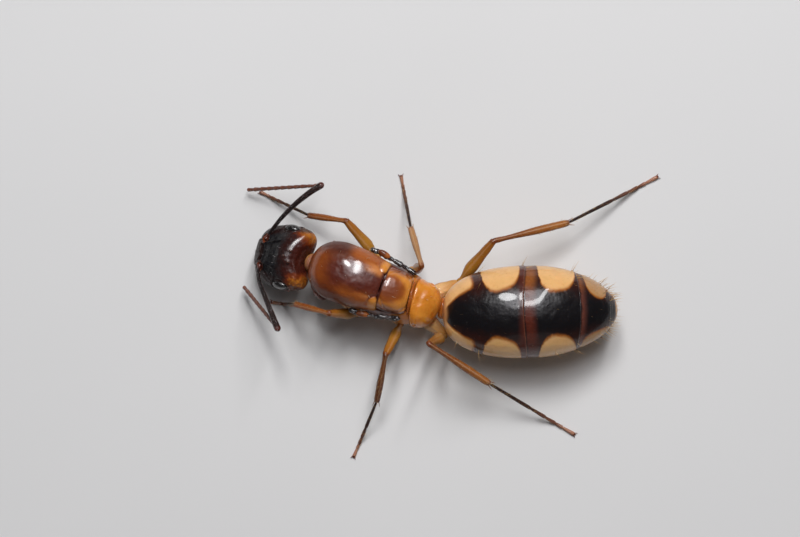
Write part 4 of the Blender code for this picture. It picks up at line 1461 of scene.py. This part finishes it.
def gaster_paint(number):
    """One plate's black saddle with its cream side patches, their soft brown borders and its pale rim."""
    paint = shell(
        f"gaster_shell_{number}", gloss=0.32, Coat_Weight=0.5, Coat_Roughness=0.07, Specular_IOR_Level=0.2
    )
    place, _, y, z = paint.spread()
    cloud = paint.cloud(place, 2.4)
    fine = paint.cloud(place, 8.0)
    t, across, bow = paint.split(paint.attribute("marks"))
    side = across + cloud * 0.07 + fine * 0.035
    left = y.rise(0.12, -0.12)
    patch = gaster_patch(number, t, side, left, cloud, fine)
    saddle = gaster_saddle(paint, number, y, t, bow, side, cloud, fine)
    cream = paint.blend((cloud + fine * 0.6).rise(-0.3, 0.3), CREAM, PATCH_GOLD)
    cream = paint.blend((fine + cloud * 0.3).rise(0.1, 0.3) * 0.45, cream, PATCH_CLOUD)
    if number > 3:
        cream = paint.blend(0.8 if number == 4 else 0.6, cream, TAIL_TAN)
        cream = paint.blend(left * 0.7, cream, TAIL_GOLD)
    colour = paint.blend(patch.rise(0.0, 0.5), saddle, PATCH_EDGE)
    colour = paint.blend(patch.rise(0.35, 0.95), colour, cream)
    colour = paint.blend((side + fine * 0.2).rise(1.3, 1.6), colour, BELLY_TAN)
    if number < 5:
        rim_colour, strength = (PALE_RIM, 1.0) if number > 2 else (RIM_BROWN, 0.4)
        before_rim = t - GASTER_SEAMS[number - 1] - bow * GASTER_SEAM_BOWS[number - 1]
        colour = paint.blend(before_rim.rise(-0.009, -0.004) * (0.6 + fine) * strength, colour, rim_colour)
    if number == 1:
        neck = ((y / 0.7) ** 2.0 + (z / 0.8) ** 2.0).rise(1.0, 0.5) * t.rise(0.05, 0.01)
        colour = paint.blend(neck, colour, WAIST_TAN)
    lumpy = paint.relief(paint.noise(place, 2.0), 0.04)
    wavy = paint.relief(paint.noise(place, 1.0, 3.0, 0.6), 0.024, lumpy)
    grain = paint.noise(paint.stretched(place, 1.0, 0.3, 0.3), 40.0, 2.0, 0.6)
    pits = paint.cells(place, 4.2).rise(0.03, 0.16)
    normal = paint.relief(pits, 0.016, paint.relief(grain, 0.0026, wavy))
    return paint.finish(Base_Color=colour, Normal=normal)


def tergite_depth(points, number, front, rear):
    """One ring of the gaster. It dips under the rim of the ring before it and cups the one behind."""
    x, y, z = points.T
    aside = (y / BOW_WIDTH) ** 2
    start = front + GASTER_BOWS[number - 1] * aside
    stop = rear + GASTER_BOWS[number] * aside
    radial = np.hypot(y, z)
    hollow = np.clip(1.0 - (radial / CUP_RADIUS) ** 2, 0.0, 1.0)
    depth = egg_depth(points, GASTER_FORM, GASTER_SQUARENESS)
    if number > 1:
        share = np.clip((x - start) / (rear - front), 0.0, 1.0)
        tuck, dome = 0.003 if number == 2 else 0.02, 0.35 if number < 5 else 0.1
        depth = depth + tuck * (1.0 - soft_step(share, 0.0, 0.4))
        depth = round_most(depth, start - 0.06 - dome * hollow - x, 0.03)
    else:
        waist = np.hypot(y / 1.15, (z + 0.25) / 0.95)
        depth = depth + 0.2 * soft_step(waist, 0.8, 0.2) * soft_step(x, 0.9, 0.2)
    if number < 5:
        cup = 0.38 if number < 4 else 0.13
        depth = round_most(depth, x - stop + cup * hollow, 0.004 if number == 1 else 0.025)
    if 1 < number < 5:
        depth = depth - 0.007 * bell(x - stop + 0.07, 0.06)
    # The fold between the upper and the lower plates.
    fold = np.arctan2(z, np.abs(y)) + math.radians(34.0)
    return depth + 0.05 * bell(fold * np.maximum(radial, 0.3), 0.05) - 0.03 * bell(fold - 0.08, 0.08)


def tergite_skin(number):
    """A ring's surface, with how far round and along the gaster each point lies, and where hairs stand."""
    ends_at = (0.0, *GASTER_SEAMS, 1.0)
    front, rear = ends_at[number - 1] * GASTER_LENGTH, ends_at[number] * GASTER_LENGTH
    middle = (max(front, 0.1) + rear) / 2.0 if number < 5 else 7.2
    skin = carve(
        lambda points: tergite_depth(points, number, front, rear), (middle, 0.0, 0.0),
        (rear - front, GASTER_FORM[2][0], CUP_RADIUS), 7 if number in (2, 3) else 6, GASTER,
    )
    x, y, z = skin.points.T
    wide = np.maximum(span(x, GASTER_FORM, GASTER_FORM[2]), 0.05)
    tall = np.maximum(span(x, GASTER_FORM, GASTER_FORM[3]), 0.05)
    angle = np.arctan2(y / wide, z / tall) + math.radians(GASTER_ROLL)
    across = np.abs(np.sin(angle))
    across = np.where(np.cos(angle) > 0.0, across, 2.0 - across)
    aside = (y / BOW_WIDTH) ** 2
    skin.marks = np.stack([x / GASTER_LENGTH, across, aside / GASTER_LENGTH], 1)
    rows = bell(x - (rear + GASTER_BOWS[number] * aside) + 0.1, 0.06) if number < 5 else 0.0
    tail = soft_step(x, 6.0, 7.2) if number > 3 else 0.0
    beside = soft_step(across, 0.35, 0.9)
    skin.furry = 0.01 + 1.3 * rows * (0.06 + beside) + tail * (0.1 + 1.6 * beside)
    skin.tail = tail * (0.15 + beside)
    return skin


def build_abdomen():
    """The waist's scale, the gaster's five rings and their hairs."""
    scale_place = THORAX @ axis_frame(PETIOLE_PLACE, direction(GASTER_YAW / 2.0, 0.0))
    scale = oval_skin(scale_place, PETIOLE_HALF_SIZE, 5, 2.4)
    waist_finish = mesosoma_paint("petiole_shell", ORANGE, ORANGE_BROWN, 0.3, 0.3)
    dress("petiole_scale", scale, waist_finish, "orange_shell", "petiole")
    rings = [tergite_skin(number) for number in range(1, 6)]
    for number, ring in enumerate(rings, start=1):
        finish = gaster_paint(number)
        plate = dress(f"tergite_{number}", ring, finish, "black_shell", f"gaster_plate_{number}")
        if number == 1:
            plate.data.set_sharp_from_angle(angle=RIM_SHARPNESS)
    bristle = dict(paint=FINISHES["golden_setae"], scatter=0.22, curl=0.12)
    setae("gaster_setae", rings, density=8.0, length=0.46, thickness=0.015, lean=0.3, seed=21, **bristle)
    for ring in rings:
        below = soft_step(ring.points[:, 2], 0.6, -0.2)
        ring.furry = 0.12 + below * 0.6 + ring.tail * 2.0
    setae("gaster_down", rings, density=12.0, length=0.11, thickness=0.0035, lean=0.7, seed=22, **bristle)


# ---------------------------------------------------------------------------------------------- legs

def leg_joints(pair, side_name):
    """The hip, the trochanter, the knee, the ankle, where the foot meets the floor, and the toe."""
    coxa_length, femur_length, tibia_length, tarsus_length = LEG_LENGTHS[pair]
    coxa_angles, femur_angles, tibia_angles, tarsus_azimuth = LEG_POSES[pair, side_name]
    hip = mirrored(HIPS[pair], dict(SIDES)[side_name])
    trochanter = hip + direction(*coxa_angles) * coxa_length
    knee = trochanter + direction(*femur_angles) * femur_length
    ankle = knee + direction(*tibia_angles) * tibia_length
    drop = ankle.z - ANKLE_DROP
    slant = tarsus_length * (1.0 - FOOT_REST)
    level_way = direction(tarsus_azimuth, 0.0)
    touch = ankle + level_way * math.sqrt(slant ** 2 - drop ** 2)
    toe = touch + level_way * tarsus_length * FOOT_REST
    touch.z = toe.z = FOOT_HEIGHT
    return hip, trochanter, knee, ankle, touch, toe


def segment(start, end, girth, flatness, stations=40, sides=28):
    """One limb segment, which runs a little into both its joints."""
    start, end = Vector(start), Vector(end)
    overlap = (end - start).normalized() * JOINT_OVERLAP
    path = straight(start - overlap, end + overlap)
    return tube(path, girth, lambda share: girth(share) * flatness, rounded(stations), sides)


def profile(*knots):
    """A smooth girth through (share, radius) pairs."""
    shares, radii = zip(*knots)

    def girth(share):
        place = np.interp(share, shares, np.arange(len(shares)))
        low = np.clip(np.floor(place).astype(int), 0, len(shares) - 2)
        part = place - low
        part = part * part * (3.0 - 2.0 * part)
        return np.array(radii)[low] * (1.0 - part) + np.array(radii)[low + 1] * part

    return girth


def capped(girth, start_reach, end_reach):
    """A girth that closes roundly within a reach of each end."""
    return lambda share: girth(share) * ends(share, start_reach, end_reach)


def coxa_skin(hip, trochanter):
    """The leg's stout first joint, a cone with ridges along it."""
    girth = capped(profile((0.0, 0.27), (0.35, 0.32), (0.75, 0.24), (1.0, 0.17)), 0.12, 0.1)
    skin = segment(hip, trochanter, girth, 1.0, sides=36)
    share, over, across = skin.readings.T
    ridges = 0.018 * np.cos(np.arctan2(over, across) * 9.0 + share * 2.0) * np.sin(math.pi * share) ** 0.5
    axis = np.array((trochanter - hip).normalized())
    offset = skin.points - np.array(hip)
    radial = offset - np.outer(offset @ axis, axis)
    length = np.maximum(np.linalg.norm(radial, axis=1), 1e-4)[:, None]
    skin.points = skin.points + radial / length * ridges[:, None]
    return skin


def femur_skin(pair, trochanter, knee):
    """A thigh, thickest before its middle."""
    girth = profile((0.0, 0.12), (0.07, 0.14), (0.11, 0.11), (0.38, THIGHS[pair]), (0.75, 0.19), (1.0, 0.14))
    return segment(trochanter, knee, capped(girth, 0.03, 0.03), 0.82, stations=64)


def tibia_skin(pair, knee, ankle):
    """A shin, which widens towards the foot."""
    shin = SHINS[pair]
    girth = profile((0.0, 0.115), (0.06, 0.12), (0.16, 0.1), (0.65, shin), (0.92, shin * 0.93), (1.0, 0.12))
    return segment(knee, ankle, capped(girth, 0.03, 0.02), 0.9, stations=56)


def spur_skins(pair, knee, ankle):
    """The spurs beside the ankle: one on a front leg, and two on the others."""
    way = (ankle - knee).normalized()
    across = UP.cross(way).normalized()
    skins = []
    for side in (1.0, -1.0) if pair != "front" else (1.0,):
        base = ankle + across * side * 0.08
        tip = ankle + across * side * 0.16 + way * 0.3 - UP * 0.05
        skins.append(spike(base, tip, SPIKE_RADIUS))
    return skins


def claw_skins(touch, toe):
    """Two hooked claws and the pad between them."""
    way = (toe - touch).normalized()
    across = UP.cross(way).normalized()
    skins = []
    for side in (1.0, -1.0):
        base = toe - way * 0.05 + across * side * 0.035
        tip = toe + way * 0.13 + across * side * 0.12 - UP * 0.06
        skins.append(spike(base, tip, SPIKE_RADIUS, bend=tuple(way * 0.03 + UP * 0.03)))
    pad_place = THORAX @ axis_frame(toe + way * 0.02 - UP * 0.02, way)
    skins.append(oval_skin(pad_place, (0.07, 0.05, 0.035), 3))
    return skins


def leg_hairs(name, femur, tibia, foot, seed):
    """Fine down all over a leg, and stronger bristles on its shin and foot, none of them on the sole."""
    on_shin = tibia.readings[:, 0]
    off_floor = soft_step(foot.points[:, 2], 0.09, 0.15)
    femur.furry = np.full(len(femur.points), 0.12)
    tibia.furry = 0.7 + 0.3 * soft_step(on_shin, 0.1, 0.5)
    foot.furry = 1.1 * off_floor
    finish = FINISHES["golden_setae"]
    setae(
        f"leg_down_{name}", (femur, tibia, foot), finish, density=120.0, length=0.10, thickness=0.0042,
        lean=0.72, scatter=0.22, curl=0.2, seed=seed,
    )
    femur.furry = np.full(len(femur.points), 0.02)
    tibia.furry = (0.15 + 1.2 * bell(on_shin - 0.97, 0.03)) * soft_step(tibia.points[:, 2], 0.2, 0.35)
    foot.furry = 0.25 * off_floor
    setae(
        f"leg_bristles_{name}", (femur, tibia, foot), finish, density=16.0, length=0.2, thickness=0.009,
        lean=0.5, scatter=0.25, curl=0.1, seed=seed + 50,
    )


def build_leg(pair, side_name, bead, seed):
    """One leg from its coxa to its claws, with its hairs."""
    hip, trochanter, knee, ankle, touch, toe = leg_joints(pair, side_name)
    name = f"{side_name}_{pair}"
    coxa = coxa_skin(hip, trochanter)
    dress(f"coxa_cone_{name}", coxa, FINISHES["coxa"], "cream_coxa", f"coxa_{name}")
    femur = femur_skin(pair, trochanter, knee)
    dress(f"femur_shaft_{name}", femur, FINISHES["femur"], "amber_leg", f"femur_{name}")
    tibia = tibia_skin(pair, knee, ankle)
    shin_finish = FINISHES["tibia_pale" if (pair, side_name) == ("middle", "right") else "tibia_" + pair]
    spurred = merged([tibia] + spur_skins(pair, knee, ankle))
    dress(f"tibia_shaft_{name}", spurred, shin_finish, "dark_leg", f"tibia_{name}")

    def foot_path(share):
        if share < 1.0 - FOOT_REST:
            return np.array(ankle.lerp(touch, share / (1.0 - FOOT_REST)))
        return np.array(touch.lerp(toe, (share - 1.0 + FOOT_REST) / FOOT_REST))

    shares = np.concatenate([[0.0], np.cumsum(TARSOMERE_LENGTHS)])
    thickness = np.array(TARSOMERE_THICKNESSES) * (1.1 if pair == "hind" else 1.0)
    tarsus = bead_chain(f"tarsomeres_{name}", foot_path, shares, thickness, FINISHES["tarsus"], bead)
    settle(tarsus, "dark_leg", f"tarsus_{name}")
    dress(f"claws_{name}", merged(claw_skins(touch, toe)), FINISHES["knee"], "dark_leg")
    foot = tube(foot_path, even(0.07, 0.02), even(0.07, 0.02), rounded(60), sides=14)
    leg_hairs(name, femur, tibia, foot, seed)


# ---------------------------------------------------------------------------------------------- whole

def seta_paint(name, root, tip):
    """A hair's translucent horn, in two shades."""
    paint = Paint(name, Roughness=0.4, Specular_IOR_Level=0.5)
    across = paint.noise(paint.add("ShaderNodeTexCoord", {}, {}, "Object"), 9000.0)
    return paint.finish(Base_Color=paint.blend(across.rise(0.3, 0.7), root, tip))


FINISHES = {
    "pale_setae": seta_paint("pale_setae", (0.75, 0.6, 0.4), (0.9, 0.8, 0.62)),
    "golden_setae": seta_paint("golden_setae", (0.42, 0.22, 0.06), (0.72, 0.48, 0.2)),
    "silver_setae": seta_paint("silver_setae", (0.42, 0.38, 0.38), (0.66, 0.62, 0.62)),
    "limb_brown": limb_paint("palp_shell", RED_BROWN, CHESTNUT, DARK_RED),
    "scape": limb_paint(
        "scape_shell", (0.008, 0.006, 0.006), (0.016, 0.007, 0.006), (0.12, 0.024, 0.014), 0.3, painted_highlight=0.0
    ),
    "whip": limb_paint("whip_shell", (0.13, 0.035, 0.018), (0.2, 0.065, 0.034), DARK_RED),
    "knee": limb_paint("knee_shell", CHESTNUT, RED_BROWN, DARK_RED),
    "tegula": limb_paint("tegula_shell", (0.34, 0.1, 0.018), (0.2, 0.045, 0.012), DARK_RED),
    "coxa": limb_paint("coxa_shell", (0.74, 0.45, 0.2), AMBER, ORANGE_BROWN, 0.4, gloss=0.3),
    "femur": limb_paint("femur_shell", (0.44, 0.21, 0.026), (0.34, 0.12, 0.014), RED_BROWN, 0.35, 0.3, 0.2),
    "tibia_front": limb_paint(
        "front_tibia_shell", (0.3, 0.09, 0.012), (0.24, 0.06, 0.01), RED_BROWN, 0.6, 0.34, 0.2
    ),
    "tibia_middle": limb_paint(
        "middle_tibia_shell", (0.19, 0.06, 0.014), (0.11, 0.03, 0.008), DARK_RED, 0.6, 0.34, 0.16
    ),
    "tibia_pale": limb_paint(
        "pale_tibia_shell", (0.36, 0.18, 0.07), (0.42, 0.2, 0.07), CHESTNUT, 0.5, 0.34, 0.3
    ),
    "tibia_hind": limb_paint(
        "hind_tibia_shell", (0.2, 0.055, 0.012), (0.36, 0.125, 0.022), RED_BROWN, 0.7, 0.34, 0.35
    ),
    "tarsus": foot_paint(),
}


def build_ant():
    """Every piece of the ant, from the head back."""
    bead = bead_object()
    skull = build_head()
    build_feelers(bead)
    build_thorax()
    build_abdomen()
    for number, (pair, side_name) in enumerate(LEG_POSES):
        build_leg(pair, side_name, bead, 30 + number)
    skull.furry = soft_step(skull.points[:, 2], 0.2, 0.5)
    setae(
        "head_setae", (skull,), FINISHES["silver_setae"], density=2.0, length=0.14, thickness=0.0045,
        lean=0.3, scatter=0.3, seed=9,
    )
    bpy.data.objects.remove(bead)


def build_camera():
    """A long lens above the ant, which holds her whole pose with room round it."""
    turn, rise = math.radians(VIEW_TURN), math.radians(VIEW_RISE)
    back = Vector((math.sin(turn) * math.cos(rise), -math.cos(turn) * math.cos(rise), math.sin(rise)))
    right = Vector((math.cos(turn), math.sin(turn), 0.0))
    over = back.cross(right)
    camera = linked("camera", bpy.data.cameras.new("camera"))
    camera.data.sensor_width = SENSOR
    camera.data.lens = LENS
    camera.data.clip_start = NEAREST_SEEN
    place = THORAX @ (Vector(VIEW_AIM) + back * VIEW_DISTANCE)
    camera.matrix_world = Matrix.Translation(place) @ Matrix((right, over, back)).transposed().to_4x4()
    bpy.context.scene.camera = camera
    return back, over, right


def add_light(name, toward, distance, size, watts, colour):
    """An oval soft box at a distance along a direction from the ant, in millimetres, aimed at her."""
    light = bpy.data.lights.new(name, "AREA")
    light.shape = "ELLIPSE"
    light.size = size[0] * MM
    light.size_y = size[1] * MM
    light.energy = watts
    light.color = colour
    toward = toward.normalized()
    facing = axis_frame(THORAX @ (toward * distance), toward) @ Matrix.Rotation(math.pi / 2.0, 4, "Y")
    linked(name, light).matrix_world = facing


def build_studio(back, over, right):
    """A pale floor under soft light from over the ant's right side."""
    bm = bmesh.new()
    bmesh.ops.create_circle(bm, cap_ends=True, segments=64, radius=FLOOR_RADIUS)
    mesh = bpy.data.meshes.new("floor")
    bm.to_mesh(mesh)
    bm.free()
    paper = Paint("pale_paper", Roughness=0.85, Specular_IOR_Level=0.2)
    mottle = paper.noise(paper.add("ShaderNodeTexCoord", {}, {}, "Object"), 60.0)
    mesh.materials.append(paper.finish(Base_Color=paper.blend(mottle, *PAPER_SHADES)))
    floor = linked("floor", mesh)
    for name, (backward, upward, rightward), distance, size, watts, colour in LIGHTS:
        toward = back * backward + over * upward + right * rightward
        add_light(name, toward, distance, size, watts, colour)
    world = bpy.data.worlds.new("studio")
    world.use_nodes = True
    background = world.node_tree.nodes["Background"]
    background.inputs["Color"].default_value = (*SKY, 1.0)
    background.inputs["Strength"].default_value = SKY_STRENGTH
    bpy.context.scene.world = world
    bpy.context.scene.view_settings.view_transform = "Standard"


build_ant()
build_studio(*build_camera())
